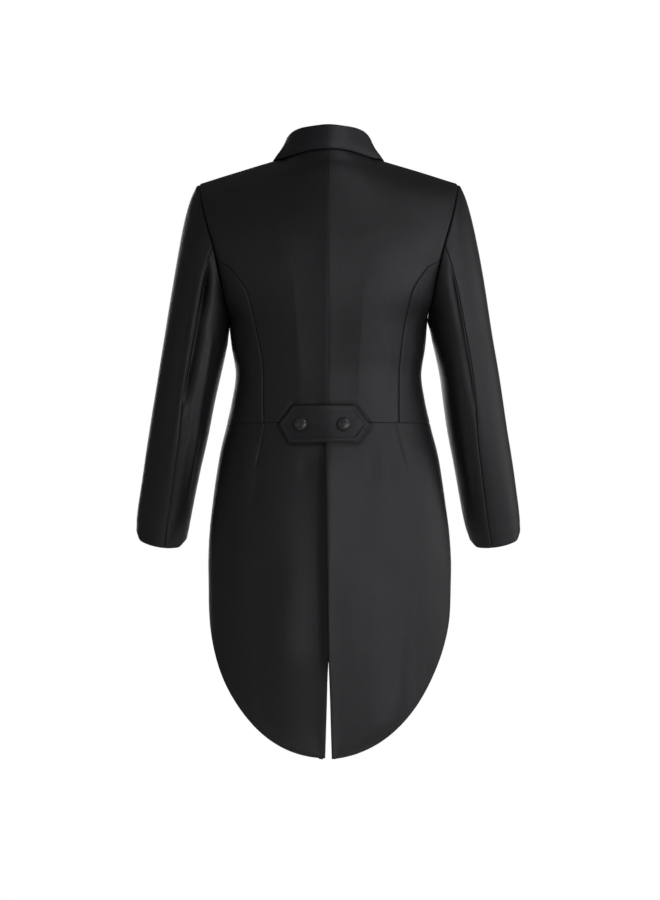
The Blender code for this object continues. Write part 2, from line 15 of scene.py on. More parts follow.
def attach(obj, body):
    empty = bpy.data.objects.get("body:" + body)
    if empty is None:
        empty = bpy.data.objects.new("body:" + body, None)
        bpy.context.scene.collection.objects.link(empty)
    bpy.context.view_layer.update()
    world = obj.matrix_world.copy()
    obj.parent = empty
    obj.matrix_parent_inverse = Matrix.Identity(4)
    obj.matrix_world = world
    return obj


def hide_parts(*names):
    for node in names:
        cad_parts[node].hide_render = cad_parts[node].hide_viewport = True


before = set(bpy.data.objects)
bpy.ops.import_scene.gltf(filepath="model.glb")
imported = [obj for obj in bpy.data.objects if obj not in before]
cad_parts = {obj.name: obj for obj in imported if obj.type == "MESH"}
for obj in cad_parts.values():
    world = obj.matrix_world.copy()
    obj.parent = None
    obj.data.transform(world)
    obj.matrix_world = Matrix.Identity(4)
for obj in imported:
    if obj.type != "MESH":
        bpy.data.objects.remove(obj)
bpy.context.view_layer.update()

MM = 0.001

# ---------------------------------------------------------------- dimensions
SHELL = 1.8            # thickness of a cloth shell
SEAM = 0.34            # space left between two sewn panels
FULLNESS = 2.35
SHOULDER_DROP = 1.18
NECK_HALF = 72.0
WAIST_SEAM = -439.0
ARMPIT = -265.0
HEM_TOP = -715.0
HEM_HALF = 200.5
HEM_DEPTH = 267.0
HEM_FULL = (0.93, 1.02)
FRONT_POINT = 34.0
SIDE_TIP = 2.5
LAP = 1.3
BELT_LIFT = 2.0
BELT_WALL = 3.0
BUTTON_DIA = 21.0
FRONT_BUTTON_DIA = 19.0
STEP = 3.4             # spacing of the points of a shell
ROOF = 5.4             # how far the centre-back seam stands out
ROOF_WIDTH = 50.0

BACK_ROWS = [
    # z_centre, depth, armhole_deg, neck_form
    (20.0, 62.0, 0.0, 1.00),
    (8.0, 69.0, 17.0, 0.86),
    (-15.0, 80.0, 37.0, 0.56),
    (-50.0, 92.0, 61.0, 0.24),
    (-100.0, 107.0, 84.0, 0.05),
    (-150.0, 116.0, 106.0, 0.0),
    (-200.0, 119.0, 132.0, 0.0),
    (-235.0, 117.0, 156.0, 0.0),
    (-265.0, 112.0, 180.0, 0.0),
]

FRONT_ROWS = [
    # z_centre, depth, armhole_deg, neck_form
    (20.0, 62.0, 360.0, 1.00),
    (4.0, 72.0, 345.0, 0.90),
    (-22.0, 84.0, 326.0, 0.66),
    (-60.0, 97.0, 304.0, 0.30),
    (-110.0, 109.0, 283.0, 0.08),
    (-160.0, 116.0, 262.0, 0.0),
    (-205.0, 119.0, 236.0, 0.0),
    (-240.0, 119.0, 208.0, 0.0),
    (-265.0, 118.0, 180.0, 0.0),
]

RINGS = [
    # z, half_width, back_depth, front_depth, side_y
    (-265.0, 165.0, 112.0, 118.0, 5.0),
    (-310.0, 160.5, 101.0, 112.0, 2.0),
    (-358.0, 154.0, 92.0, 105.0, 0.0),
    (-400.0, 160.0, 93.0, 106.0, -1.0),
    (-439.0, 168.5, 98.0, 108.0, -2.0),
    (-483.0, 179.5, 106.0, 111.0, -2.0),
    (-525.0, 186.5, 114.0, 113.0, -2.0),
    (-567.0, 192.5, 120.0, 114.0, -2.0),
    (-610.0, 198.0, 124.0, 115.0, -2.0),
    (-650.0, 201.0, 126.0, 115.0, -2.0),
    (-715.0, 201.0, 126.0, 115.0, -2.0),
    (-780.0, 200.0, 125.0, 114.0, -2.0),
    (-850.0, 198.0, 123.0, 113.0, -2.0),
    (-920.0, 196.0, 120.0, 112.0, -2.0),
    (-985.0, 195.0, 117.0, 111.0, -2.0),
]

ARMHOLE = [
    # deg, x, y, z
    (0.0, 215.0, 0.0, -41.0),
    (30.0, 211.0, 34.0, -63.0),
    (60.0, 201.0, 62.0, -105.0),
    (90.0, 188.0, 75.0, -150.0),
    (120.0, 178.0, 68.0, -196.0),
    (150.0, 170.0, 44.0, -241.0),
    (180.0, 165.0, 5.0, -265.0),
    (210.0, 166.5, -38.0, -255.0),
    (240.0, 174.0, -68.0, -222.0),
    (270.0, 184.0, -80.0, -172.0),
    (300.0, 195.0, -70.0, -120.0),
    (330.0, 208.0, -41.0, -71.0),
]

SLEEVE = [
    # z, outer_x, inner_x, centre_y, half_depth, right_inner
    (-300.0, 273.0, 168.5, -2.0, 66.0, 5.5),
    (-350.0, 281.5, 179.0, -3.0, 62.0, 5.5),
    (-400.0, 289.5, 190.0, -8.0, 58.0, 2.0),
    (-450.0, 298.0, 200.5, -17.0, 55.0, -0.5),
    (-500.0, 307.0, 212.5, -29.0, 52.0, -2.5),
    (-550.0, 315.0, 223.5, -43.0, 49.5, -3.5),
    (-600.0, 323.0, 234.5, -57.0, 47.0, -4.0),
    (-634.0, 326.5, 242.5, -67.0, 46.0, -2.0),
]
SLEEVE_TILT = (0.17, -0.27)
CAP_PART = 0.42

SLEEVE_SEAMS = [
    # part of the length, back_deg, front_deg
    (0.00, 90.0, 285.0),
    (0.30, 87.0, 287.0),
    (0.50, 86.0, 288.0),
    (0.75, 96.0, 289.0),
    (1.00, 103.0, 290.0),
]

SIDE_BACK_SEAM = [
    # z, left_x, right_x
    (-439.0, 106.5, 115.5),
    (-390.0, 107.5, 116.0),
    (-343.0, 108.5, 117.5),
    (-297.0, 117.0, 122.5),
    (-253.0, 126.0, 130.5),
    (-220.0, 137.0, 139.5),
    (-194.0, 156.0, 157.0),
    (-168.0, 180.5, 180.5),
]

FRONT_EDGE = [
    # z, x
    (20.0, 72.0),
    (-20.0, 76.0),
    (-60.0, 75.0),
    (-110.0, 70.0),
    (-160.0, 64.0),
    (-265.0, 54.0),
    (-400.0, 46.0),
    (-480.0, 46.0),
]

TAIL_EDGE = [
    # z, deg
    (-439.0, 138.0),
    (-483.0, 131.0),
    (-567.0, 117.0),
    (-650.0, 101.0),
    (-715.0, 90.0),
]

VENT = [
    # z, over_x (right tail), under_x (left tail)
    (-439.0, 6.5, -26.0),
    (-510.0, 4.6, -23.0),
    (-600.0, 3.2, -17.0),
    (-700.0, 1.6, -9.5),
    (-800.0, -0.4, -2.0),
    (-830.0, -1.0, 0.6),
    (-900.0, -3.2, 3.0),
    (-985.0, -5.8, 5.6),
]

COLLAR = [
    # side, leaf_z, leaf_x, neck_z, neck_x, rise, lean, swell
    ("back", 9.0, 0.0, 20.0, 0.0, 30.0, 3.5, 1.0),
    ("back", 12.4, 29.0, 20.0, 22.0, 32.5, 3.0, 1.0),
    ("back", 13.6, 56.0, 20.0, 44.0, 36.0, 1.5, 0.5),
    ("back", 15.8, 78.0, 20.0, 61.0, 35.5, -1.0, -1.5),
    ("front", 20.0, 91.0, 20.0, 72.0, 27.5, -3.0, -3.0),
    ("front", 6.0, 98.0, 6.0, 73.6, 17.0, -1.0, 0.5),
    ("front", -20.0, 104.0, -14.0, 75.5, 10.0, 1.5, 3.0),
    ("front", -50.0, 110.0, -34.0, 76.0, 7.0, 3.0, 4.0),
    ("front", -78.0, 115.0, -54.0, 75.2, 4.5, 4.0, 4.0),
]

LAPEL = [
    # part of the length, width
    (0.00, 5.0),
    (0.20, 29.0),
    (0.45, 56.0),
    (0.70, 76.0),
    (0.90, 87.0),
    (1.00, 90.0),
]
LAPEL_BREAK = -398.0
LAPEL_TOP = [
    # part of the width, z
    (0.00, -60.0),
    (0.48, -86.0),
    (0.56, -86.0),
    (1.00, -66.0),
]

BELT = [
    # z, left_x, right_x
    (-472.0, 64.5, -46.0),
    (-442.0, 82.4, -67.3),
    (-409.0, 57.7, -41.4),
]
BELT_BUTTONS = {"belt_button_left": 44.7, "belt_button_right": -24.2}
BELT_BUTTON_Z = -442.5

FRONT_BUTTONS = [
    # z, x
    (-330.0, 104.0),
    (-378.0, 90.0),
    (-426.0, 78.0),
]

# Creases on the back of the coat, each a soft trough (depth < 0) or ridge
# along a bowed line from one end to the other. lean widens the far side.
BACK_FOLDS = [
    # x0, z0, x1, z1, bow, width, lean, depth
    (172.0, -236.0, 138.0, -330.0, 6.0, 8.0, 1.6, -1.8),
    (158.0, -262.0, 150.0, -352.0, -4.0, 7.0, 1.5, 1.1),
    (-174.0, -238.0, -146.0, -318.0, -5.0, 8.5, 1.4, -1.5),
    (-157.0, -280.0, -149.0, -366.0, 5.0, 6.0, 1.8, 0.9),
    (126.0, -350.0, 88.0, -392.0, 5.0, 10.0, 1.5, -0.8),
    (-132.0, -344.0, -96.0, -398.0, -4.0, 11.0, 1.4, -0.7),
    (60.0, -120.0, 92.0, -205.0, 7.0, 24.0, 1.2, 0.9),
    (-66.0, -110.0, -100.0, -215.0, -8.0, 26.0, 1.3, 1.0),
    (30.0, -395.0, 76.0, -402.0, 2.0, 6.0, 1.6, -0.7),
    (-34.0, -397.0, -70.0, -401.0, -2.0, 6.0, 1.3, -0.6),
]

TAIL_FOLDS = [
    # x0, z0, x1, z1, bow, width, lean, depth
    (112.0, -462.0, 128.0, -590.0, 3.0, 7.0, 1.8, -1.5),
    (131.0, -455.0, 137.0, -560.0, -2.0, 8.0, 1.4, 1.0),
    (-101.0, -470.0, -108.0, -618.0, -2.0, 8.0, 1.5, -1.2),
    (-126.0, -452.0, -138.0, -548.0, 3.0, 8.5, 1.5, 1.1),
    (58.0, -560.0, 72.0, -905.0, 6.0, 26.0, 1.3, 1.7),
    (104.0, -640.0, 112.0, -880.0, -5.0, 20.0, 1.2, -1.8),
    (146.0, -580.0, 158.0, -840.0, 4.0, 18.0, 1.4, 1.5),
    (-46.0, -590.0, -58.0, -930.0, -5.0, 28.0, 1.2, 1.3),
    (-92.0, -620.0, -99.0, -900.0, 6.0, 20.0, 1.4, -1.5),
    (-140.0, -570.0, -151.0, -850.0, -4.0, 19.0, 1.3, 1.4),
    (38.0, -474.0, 42.0, -545.0, 1.0, 9.0, 1.3, -0.7),
    (-70.0, -476.0, -74.0, -540.0, -1.5, 9.0, 1.5, -0.8),
]

FRONT_FOLDS = [
    # x0, z0, x1, z1, bow, width, lean, depth
    (168.0, -232.0, 122.0, -322.0, 7.0, 9.0, 1.5, -2.0),
    (150.0, -270.0, 128.0, -364.0, -5.0, 8.0, 1.4, 1.2),
    (140.0, -352.0, 84.0, -384.0, 5.0, 8.0, 1.6, -1.4),
    (146.0, -404.0, 96.0, -398.0, -4.0, 7.0, 1.4, -1.1),
    (118.0, -60.0, 150.0, -168.0, 8.0, 14.0, 1.3, 1.3),
    (-166.0, -238.0, -126.0, -312.0, -6.0, 8.5, 1.6, -1.8),
    (-152.0, -282.0, -134.0, -376.0, 5.0, 7.5, 1.5, 1.1),
    (-136.0, -346.0, -88.0, -390.0, -6.0, 9.0, 1.4, -1.5),
    (-144.0, -410.0, -98.0, -404.0, 3.0, 6.5, 1.5, -0.9),
    (-122.0, -66.0, -148.0, -180.0, -7.0, 15.0, 1.2, 1.2),
]

# Creases of the sleeves: run is millimetres down the sleeve, deg its angle.
SLEEVE_FOLDS = {
    "left": [
        # deg0, run0, deg1, run1, bow, width, lean, depth
        (92.0, 52.0, 89.6, 376.0, 0.0, 2.2, 4.4, -13.0),
        (97.5, 330.0, 106.0, 590.0, 0.0, 2.2, 2.6, -2.2),
        (81.0, 56.0, 84.0, 500.0, -1.0, 4.6, 1.4, 2.2),
        (118.0, 196.0, 139.0, 560.0, -2.0, 5.0, 1.2, 2.7),
        (52.0, 120.0, 66.0, 330.0, 4.0, 13.0, 1.3, -1.1),
        (30.0, 240.0, 44.0, 470.0, -5.0, 16.0, 1.4, 1.0),
        (205.0, 292.0, 262.0, 316.0, -6.0, 5.5, 1.6, -3.0),
        (212.0, 322.0, 256.0, 338.0, 5.0, 5.0, 1.5, -2.4),
        (200.0, 350.0, 250.0, 372.0, -5.0, 6.5, 1.4, -2.2),
        (226.0, 120.0, 256.0, 196.0, 4.0, 8.0, 1.6, -2.2),
        (300.0, 96.0, 318.0, 210.0, -4.0, 11.0, 1.3, -1.2),
    ],
    "right": [
        # deg0, run0, deg1, run1, bow, width, lean, depth
        (92.5, 62.0, 90.5, 400.0, 0.0, 2.4, 2.6, -2.8),
        (82.0, 80.0, 82.0, 420.0, -1.0, 6.0, 1.6, 0.8),
        (116.0, 240.0, 136.0, 580.0, -3.0, 7.0, 1.4, 1.4),
        (46.0, 150.0, 60.0, 360.0, 3.0, 14.0, 1.3, -0.8),
        (208.0, 286.0, 258.0, 304.0, -5.0, 5.5, 1.5, -2.6),
        (202.0, 318.0, 262.0, 344.0, -6.0, 6.0, 1.6, -2.8),
        (214.0, 358.0, 250.0, 370.0, 4.0, 5.0, 1.4, -1.8),
        (222.0, 126.0, 252.0, 190.0, 5.0, 8.5, 1.5, -2.0),
        (306.0, 90.0, 322.0, 220.0, -5.0, 10.0, 1.4, -1.3),
    ],
}
DEG_MM = 0.92          # millimetres round the sleeve in one degree

# Darts in the tails under the waist seam: sewn lines.
DARTS = [
    # x0, z0, x1, z1
    (103.8, -441.0, 120.4, -516.0),
    (-109.8, -441.0, -127.0, -516.0),
]


# ------------------------------------------------------------------- curves
def spline(table, column, at, key=0):
    rows = np.array(sorted([r for r in table], key=lambda row: row[key]), float)
    xs, ys = rows[:, key], rows[:, column]
    at = np.clip(np.asarray(at, float), xs[0], xs[-1])
    h = np.diff(xs)
    d = np.diff(ys) / h
    slope = np.empty_like(ys)
    slope[0], slope[-1] = d[0], d[-1]
    slope[1:-1] = (d[:-1] * h[1:] + d[1:] * h[:-1]) / (h[:-1] + h[1:])
    i = np.clip(np.searchsorted(xs, at, side="right") - 1, 0, len(h) - 1)
    t = (at - xs[i]) / h[i]
    a, b = slope[i] * h[i], slope[i + 1] * h[i]
    return (
        (2 * t**3 - 3 * t**2 + 1) * ys[i]
        + (t**3 - 2 * t**2 + t) * a
        + (-2 * t**3 + 3 * t**2) * ys[i + 1]
        + (t**3 - t**2) * b
    )


def straight(table, column, at, key=0):
    rows = np.array(sorted([r for r in table], key=lambda row: row[key]), float)
    return np.interp(at, rows[:, key], rows[:, column])


ARMHOLE_LOOP = (
    [(row[0] - 360.0,) + row[1:] for row in ARMHOLE[-2:]]
    + ARMHOLE
    + [(row[0] + 360.0,) + row[1:] for row in ARMHOLE[:3]]
)


def armhole(deg):
    return np.stack([spline(ARMHOLE_LOOP, c, deg) for c in (1, 2, 3)], -1)


def unit(v):
    return v / np.maximum(np.linalg.norm(v, axis=-1, keepdims=True), 1e-9)


def smooth(t):
    t = np.clip(t, 0.0, 1.0)
    return t * t * (3.0 - 2.0 * t)


# ----------------------------------------------------------- garment surface
def section(z, front):
    table = FRONT_ROWS if front else BACK_ROWS
    upper = z > ARMPIT
    end_low = np.stack([spline(RINGS, 1, z), spline(RINGS, 4, z), z], -1)
    end = np.where(upper[..., None], armhole(spline(table, 2, z)), end_low)
    depth = np.where(upper, spline(table, 1, z), spline(RINGS, 3 if front else 2, z))
    form = np.where(upper, spline(table, 3, z), 0.0)
    return end, (-depth if front else depth), form


def body(z, deg):
    """Outer face of the coat. 0 is the centre back, 90 the side or armhole,
    180 the centre front, negative past the centre back to the other side."""
    z, deg = np.broadcast_arrays(np.asarray(z, float), np.asarray(deg, float))
    turn = np.abs(deg)
    front = turn > 90.0
    b_end, b_depth, b_form = section(z, False)
    f_end, f_depth, f_form = section(z, True)
    end = np.where(front[..., None], f_end, b_end)
    depth, form = np.where(front, f_depth, b_depth), np.where(front, f_form, b_form)
    a = np.radians(turn)
    across = np.maximum(np.sin(a), 0.0) ** (2.0 / FULLNESS)
    along = np.abs(np.cos(a)) ** (2.0 / FULLNESS)
    x = end[..., 0] * across
    neck = np.maximum(1.0 - (x / NECK_HALF) ** 2, 0.0) ** 0.8
    y = end[..., 1] + (depth - end[..., 1]) * ((1.0 - form) * along + form * neck)
    level = z + (end[..., 2] - z) * across**SHOULDER_DROP
    return np.stack([np.where(deg < 0, -x, x), y, level], -1)


SOFT = np.linspace(-2.4, 2.4, 13)
SOFT_WEIGHT = (1.5 - 0.5 * SOFT**2) * np.exp(-0.5 * SOFT**2)
SOFT_WEIGHT /= SOFT_WEIGHT.sum()


def cloth(z, deg):
    """The body as cloth takes it: the break at the foot of the armhole and
    the one under the neck are eased over, the edges stay where they are."""
    z, deg = np.broadcast_arrays(np.asarray(z, float), np.asarray(deg, float))
    p = body(z, deg)
    turn = np.abs(deg)
    near = smooth((74.0 - np.abs(z - ARMPIT)) / 30.0) * smooth(np.abs(turn - 90.0) / 26.0)
    if float(near.max()) > 0:
        eased = sum(w * body(np.clip(z + 24.0 * k, -980.0, 20.0), deg) for k, w in zip(SOFT, SOFT_WEIGHT))
        p = p + (eased - p) * near[..., None]
    high = smooth((14.0 - z) / 22.0) * smooth((z + 150.0) / 40.0)
    inner = smooth((86.0 - np.minimum(turn, 180.0 - turn)) / 20.0)
    if float((high * inner).max()) > 0:
        wide = 9.0
        lo, hi = np.where(turn > 90.0, 90.001, -89.9), np.where(turn > 90.0, 180.0, 89.9)
        eased = sum(w * body(z, np.clip(deg + wide * k, lo, hi)) for k, w in zip(SOFT, SOFT_WEIGHT))
        p = p + (eased - p) * (high * inner)[..., None]
    return p


def angle_at(z, x, front=False):
    end, _, _ = section(np.asarray(z, float), front)
    part = np.clip(x / end[..., 0], 0.0, 1.0) ** (FULLNESS / 2.0)
    a = np.degrees(np.arcsin(part))
    return 180.0 - a if front else a


def angle_on_curve(z, table, front=False, column=1):
    z = np.asarray(z, float)
    end, _, _ = section(z, front)
    level = z
    for _ in range(12):
        x = np.minimum(spline(table, column, level), end[..., 0])
        level = z + (end[..., 2] - z) * (x / end[..., 0]) ** SHOULDER_DROP
    return angle_at(z, x, front)


def body_normal(z, deg, front=False):
    z, deg = np.broadcast_arrays(np.asarray(z, float), np.asarray(deg, float))
    lo, hi = (90.001, 180.0) if front else (0.0, 90.0)
    around = body(z, np.minimum(deg + 0.8, hi)) - body(z, np.maximum(deg - 0.8, lo))
    up = body(np.minimum(z + 1.5, 20.0), deg) - body(z - 1.5, deg)
    return unit(np.cross(up, around))


def on_body(z, x, lift, front=False):
    """Points lifted off the body, x may be on the wearer's right."""
    z, x = np.broadcast_arrays(np.asarray(z, float), np.asarray(x, float))
    deg = angle_at(z, np.abs(x), front)
    n = body_normal(z, deg, front)
    p = body(z, deg) + n * np.asarray(lift, float)[..., None]
    flip = np.where(x < 0, -1.0, 1.0)
    p[..., 0] *= flip
    n = n.copy()
    n[..., 0] *= flip
    return p, n


# ------------------------------------------------------------ sleeve surface
SLEEVE_TOP, SLEEVE_END = SLEEVE[0][0], SLEEVE[-1][0]


def sleeve_ring(deg, z, right=False):
    outer, inner, cy, half = (spline(SLEEVE, c, z) for c in (1, 2, 3, 4))
    if right:
        inner = inner + spline(SLEEVE, 5, z)
    a = np.radians(deg)
    dx = 0.5 * (outer - inner) * np.cos(a)
    dy = half * np.sin(a)
    lean = np.clip((-z - 250.0) / 200.0, 0.0, 1.0)
    tilt_x, tilt_y = SLEEVE_TILT[0], SLEEVE_TILT[1] * lean
    return np.stack([0.5 * (outer + inner) + dx, cy + dy, z + tilt_x * dx + tilt_y * dy], -1)


def sleeve(deg, part, right=False):
    deg, part = np.broadcast_arrays(np.asarray(deg, float), np.asarray(part, float))
    low = (part - CAP_PART) / (1.0 - CAP_PART)
    arm = sleeve_ring(deg, SLEEVE_TOP + (SLEEVE_END - SLEEVE_TOP) * np.clip(low, 0.0, 1.0), right)
    t = np.clip(part / CAP_PART, 0.0, 1.0)[..., None]
    top = np.full_like(deg, SLEEVE_TOP)
    p0, p1 = armhole(deg % 360.0), sleeve_ring(deg, top, right)
    run = np.linalg.norm(p1 - p0, axis=-1, keepdims=True)
    down = unit(sleeve_ring(deg, top - 8.0, right) - p1)
    a = np.radians(deg)
    out = unit(np.stack([
        0.375 * (1.0 + np.cos(a)) + 0.35 * np.abs(np.sin(a)),
        0.35 * np.sin(a),
        -0.80 + 0.15 * np.cos(a),
    ], -1))
    t0, t1 = out * (60.0 + 40.0 * np.cos(a))[..., None], down * run
    cap = (
        (2 * t**3 - 3 * t**2 + 1) * p0
        + (t**3 - 2 * t**2 + t) * t0
        + (-2 * t**3 + 3 * t**2) * p1
        + (t**3 - t**2) * t1
    )
    return np.where((part >= CAP_PART)[..., None], arm, cap)


# -------------------------------------------------------------- grid helpers
NEAR = np.array([0.0, 0.35, 0.8, 1.4, 2.2, 3.4, 5.2])   # fine steps at an edge


def runs(points, axis):
    """Length along the rows or columns of a grid, from its first point."""
    step = np.linalg.norm(np.diff(points, axis=axis), axis=2)
    zero = np.zeros_like(step[:, :1] if axis == 1 else step[:1])
    return np.concatenate([zero, np.cumsum(step, axis=axis)], axis=axis)


def stations(first, last, count, lo=True, hi=True):
    """Places between two ends, closer together beside an edge."""
    span = last - first
    f = np.minimum(1.0, span / (NEAR[-1] * 2.6))[:, None]
    a = first[:, None] + (NEAR * f if lo else 0.0 * f)
    b = last[:, None] - (NEAR[::-1] * f if hi else 0.0 * f)
    part = np.linspace(0.0, 1.0, count + 1)[None, 1:-1]
    return np.concatenate([a, a[:, -1:] + (b[:, :1] - a[:, -1:]) * part, b], axis=1)


def spread(surface, rows, lo, hi, count, lo_gap=0.0, hi_gap=0.0, fine=(True, True), seam=None):
    """Angles at even steps of length across each row of a surface. seam is a
    length from the far end that takes the place of hi."""
    rows = np.asarray(rows, float)
    lo, hi = np.broadcast_to(lo, rows.shape), np.broadcast_to(hi, rows.shape)
    dense = lo[:, None] + (hi - lo)[:, None] * np.linspace(0.0, 1.0, 181)[None, :]
    run = runs(surface(rows[:, None], dense), 1)
    first = np.zeros(len(rows)) + lo_gap
    last = run[:, -1] - hi_gap
    if seam is not None:
        first, last = seam(run, first, last)
    at = stations(first, last, count, *fine)
    return np.array([np.interp(s, r, d) for s, r, d in zip(at, run, dense)])


def levels(top, bottom, step, fine_top=True, fine_bottom=True):
    """Row heights from top down to bottom."""
    count = max(2, int(round((top - bottom) / step)))
    at = stations(np.array([0.0]), np.array([top - bottom]), count, fine_top, fine_bottom)[0]
    return top - at


def grid_normals(grid, core):
    across = np.gradient(grid, axis=1)
    along = np.gradient(grid, axis=0)
    n = unit(np.cross(across, along))
    return n if float(np.sum(n * (grid - core))) > 0 else -n


def fold(x, y, x0, y0, x1, y1, bow, width, lean, depth):
    """One crease: a bowed line with a soft round profile, fuller in its
    middle, a little uneven along its length."""
    dx, dy = x1 - x0, y1 - y0
    size = math.hypot(dx, dy)
    t = ((x - x0) * dx + (y - y0) * dy) / size**2
    off = ((x - x0) * dy - (y - y0) * dx) / size - bow * 4.0 * t * (1.0 - t)
    wide = width * np.where(off > 0, lean, 1.0)
    inside = smooth(t / 0.22) * smooth((1.0 - t) / 0.30)
    uneven = 1.0 + 0.22 * np.sin(9.0 * t + 0.07 * x0) + 0.12 * np.sin(21.0 * t + y0)
    return depth * inside * uneven * np.exp(-((off / wide) ** 2))


def sewn_line(x, y, x0, y0, x1, y1, depth, width):
    dx, dy = x1 - x0, y1 - y0
    size = math.hypot(dx, dy)
    t = ((x - x0) * dx + (y - y0) * dy) / size**2
    off = ((x - x0) * dy - (y - y0) * dx) / size
    inside = smooth((t + 0.05) / 0.08) * smooth((1.0 - t) / 0.18)
    return -depth * inside * np.exp(-((off / width) ** 2))


def drift(x, y, z, amount, phase):
    """Low uneven waves that pressed cloth keeps."""
    a = np.sin(x / 31.0 + z / 83.0 + phase) * np.sin(z / 47.0 - y / 59.0 + 1.7 * phase)
    b = np.sin(x / 17.0 - z / 39.0 + 2.3 * phase) * np.sin(z / 71.0 + y / 23.0 + phase)
    c = np.sin((x + y) / 12.5 + z / 28.0 + 0.6 * phase)
    return amount * (0.55 * a + 0.3 * b + 0.12 * c)


def roof(x, z, soft=2.6):
    """The centre-back seam stands a little proud, so the two halves of the
    back face slightly apart."""
    fade = smooth((8.0 - z) / 40.0)
    return ROOF * fade * np.exp(-(np.sqrt(x * x + soft * soft) - soft) / ROOF_WIDTH)


def groove(d, depth, width, allowance=0.3):
    """A pressed seam: the edge dips, and the turnings under it stand out."""
    return -depth * np.exp(-((d / width) ** 2)) + allowance * np.exp(-(((d - 5.5) / 4.0) ** 2))


EDGE_FORMS = {
    # kind: (depth, width, allowance, how far the rim reaches out, how far it sinks)
    "seam": (0.85, 0.95, 0.22, 0.19, 0.0),
    "fine": (0.18, 0.70, 0.14, 0.19, 0.0),
    "pressed": (0.05, 0.70, 0.10, 0.55, 0.0),
    "deep": (1.30, 1.40, 0.30, 3.4, 1.7),
    "head": (1.30, 1.40, 0.30, 12.0, 4.6),
    "free": (0.70, 0.75, 0.10, 0.30, 0.0),
    "none": (0.0, 1.0, 0.0, 0.0, 0.0),
}


def shell(name, grid, core, relief=None, edges=("none",) * 4, wall=SHELL, outside=0.0,
          extra=None, tuck=None):
    """A thin closed cloth shell on a grid of points. relief moves the points
    along their normals, edges names the form of the top, bottom, first-column
    and last-column edge, and tuck turns more of the last column's edge in."""
    n = grid_normals(grid, core)
    if relief is not None:
        grid = grid + n * relief[..., None]
        n = grid_normals(grid, core)
    across, down = runs(grid, 1), runs(grid, 0)
    distance = (down, down[-1:] - down, across, across[:, -1:] - across)
    dip = np.zeros(grid.shape[:2])
    for kind, d in zip(edges, distance):
        dip = dip + groove(d, *EDGE_FORMS[kind][:3])
    if extra is not None:
        dip = dip + extra
    outer = grid + n * (outside + dip)[..., None]
    inner = grid + n * (outside - wall)
    rows, cols = grid.shape[:2]

    # the rim: a ring of points half way through the wall, pushed out a little
    loop = [(0, i) for i in range(cols)] + [(j, cols - 1) for j in range(1, rows)]
    loop += [(rows - 1, i) for i in range(cols - 2, -1, -1)]
    loop += [(j, 0) for j in range(rows - 2, 0, -1)]
    lj, li = np.array([p[0] for p in loop]), np.array([p[1] for p in loop])
    inward_j = np.where(lj == 0, 1, np.where(lj == rows - 1, -1, 0))
    inward_i = np.where(li == 0, 1, np.where(li == cols - 1, -1, 0))
    middle = 0.5 * (outer[lj, li] + inner[lj, li])
    push = unit(grid[lj, li] - grid[lj + inward_j, li + inward_i])
    kinds, sinks = np.zeros(len(loop)), np.zeros(len(loop))
    for k, kind in enumerate(edges):
        here = (lj == 0, lj == rows - 1, li == 0, li == cols - 1)[k]
        kinds = np.where(here, EDGE_FORMS[kind][3], kinds)
        sinks = np.where(here, EDGE_FORMS[kind][4], sinks)
    if tuck is not None:
        kinds = np.where(li == cols - 1, kinds + tuck[lj], kinds)
    middle = middle + push * kinds[:, None] - n[lj, li] * sinks[:, None]

    verts = np.concatenate([outer.reshape(-1, 3), inner.reshape(-1, 3), middle]) * MM
    idx = np.arange(rows * cols).reshape(rows, cols)
    quad = np.stack([idx[:-1, :-1], idx[:-1, 1:], idx[1:, 1:], idx[1:, :-1]], -1).reshape(-1, 4)
    # which way round the faces go
    p, q, r = (outer.reshape(-1, 3)[quad[:, k]] for k in (0, 1, 3))
    face_n = np.cross(q - p, r - p)
    forward = float(np.sum(face_n * n[:-1, :-1].reshape(-1, 3))) > 0
    total = rows * cols
    ring = np.arange(len(loop)) + 2 * total
    o, i2 = idx[lj, li], idx[lj, li] + total
    nxt = np.roll(np.arange(len(loop)), -1)
    side_a = np.stack([o[nxt], o, ring, ring[nxt]], -1)
    side_b = np.stack([ring[nxt], ring, i2, i2[nxt]], -1)
    faces = np.concatenate([quad, quad[:, ::-1] + total, side_a, side_b])
    if not forward:
        faces = faces[:, ::-1]

    mesh = bpy.data.meshes.new(name)
    mesh.from_pydata(verts.tolist(), [], faces.tolist())
    u = np.concatenate([across.reshape(-1)] * 2 + [across[lj, li]]) * MM
    v = np.concatenate([down.reshape(-1)] * 2 + [down[lj, li]]) * MM
    layer = mesh.uv_layers.new(name="UVMap")
    which = np.empty(len(mesh.loops), np.int32)
    mesh.loops.foreach_get("vertex_index", which)
    layer.data.foreach_set("uv", np.stack([u[which], -v[which]], -1).astype(np.float32).reshape(-1))
    mesh.shade_smooth()
    obj = bpy.data.objects.new(name, mesh)
    bpy.context.scene.collection.objects.link(obj)
    return obj


def cut(grid, over=1.0):
    """Flat width, length and area of a panel, in metres, from its own
    undisturbed lengths."""
    width = float(runs(grid, 1)[:, -1].max()) * MM
    length = float(runs(grid, 0)[-1].max()) * MM
    a = grid[1:, 1:] - grid[:-1, :-1]
    b = grid[1:, :-1] - grid[:-1, 1:]
    area = float(0.5 * np.linalg.norm(np.cross(a, b), axis=-1).sum()) * MM * MM
    return width * over, length * over, area * over


def cloth_piece(obj, node, grid, mat):
    obj.data.materials.append(mat)
    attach(obj, "root")
    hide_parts(node)
    width, length, area = cut(grid)
    area = min(max(area, 0.31 * width * length), width * length)
    return obj


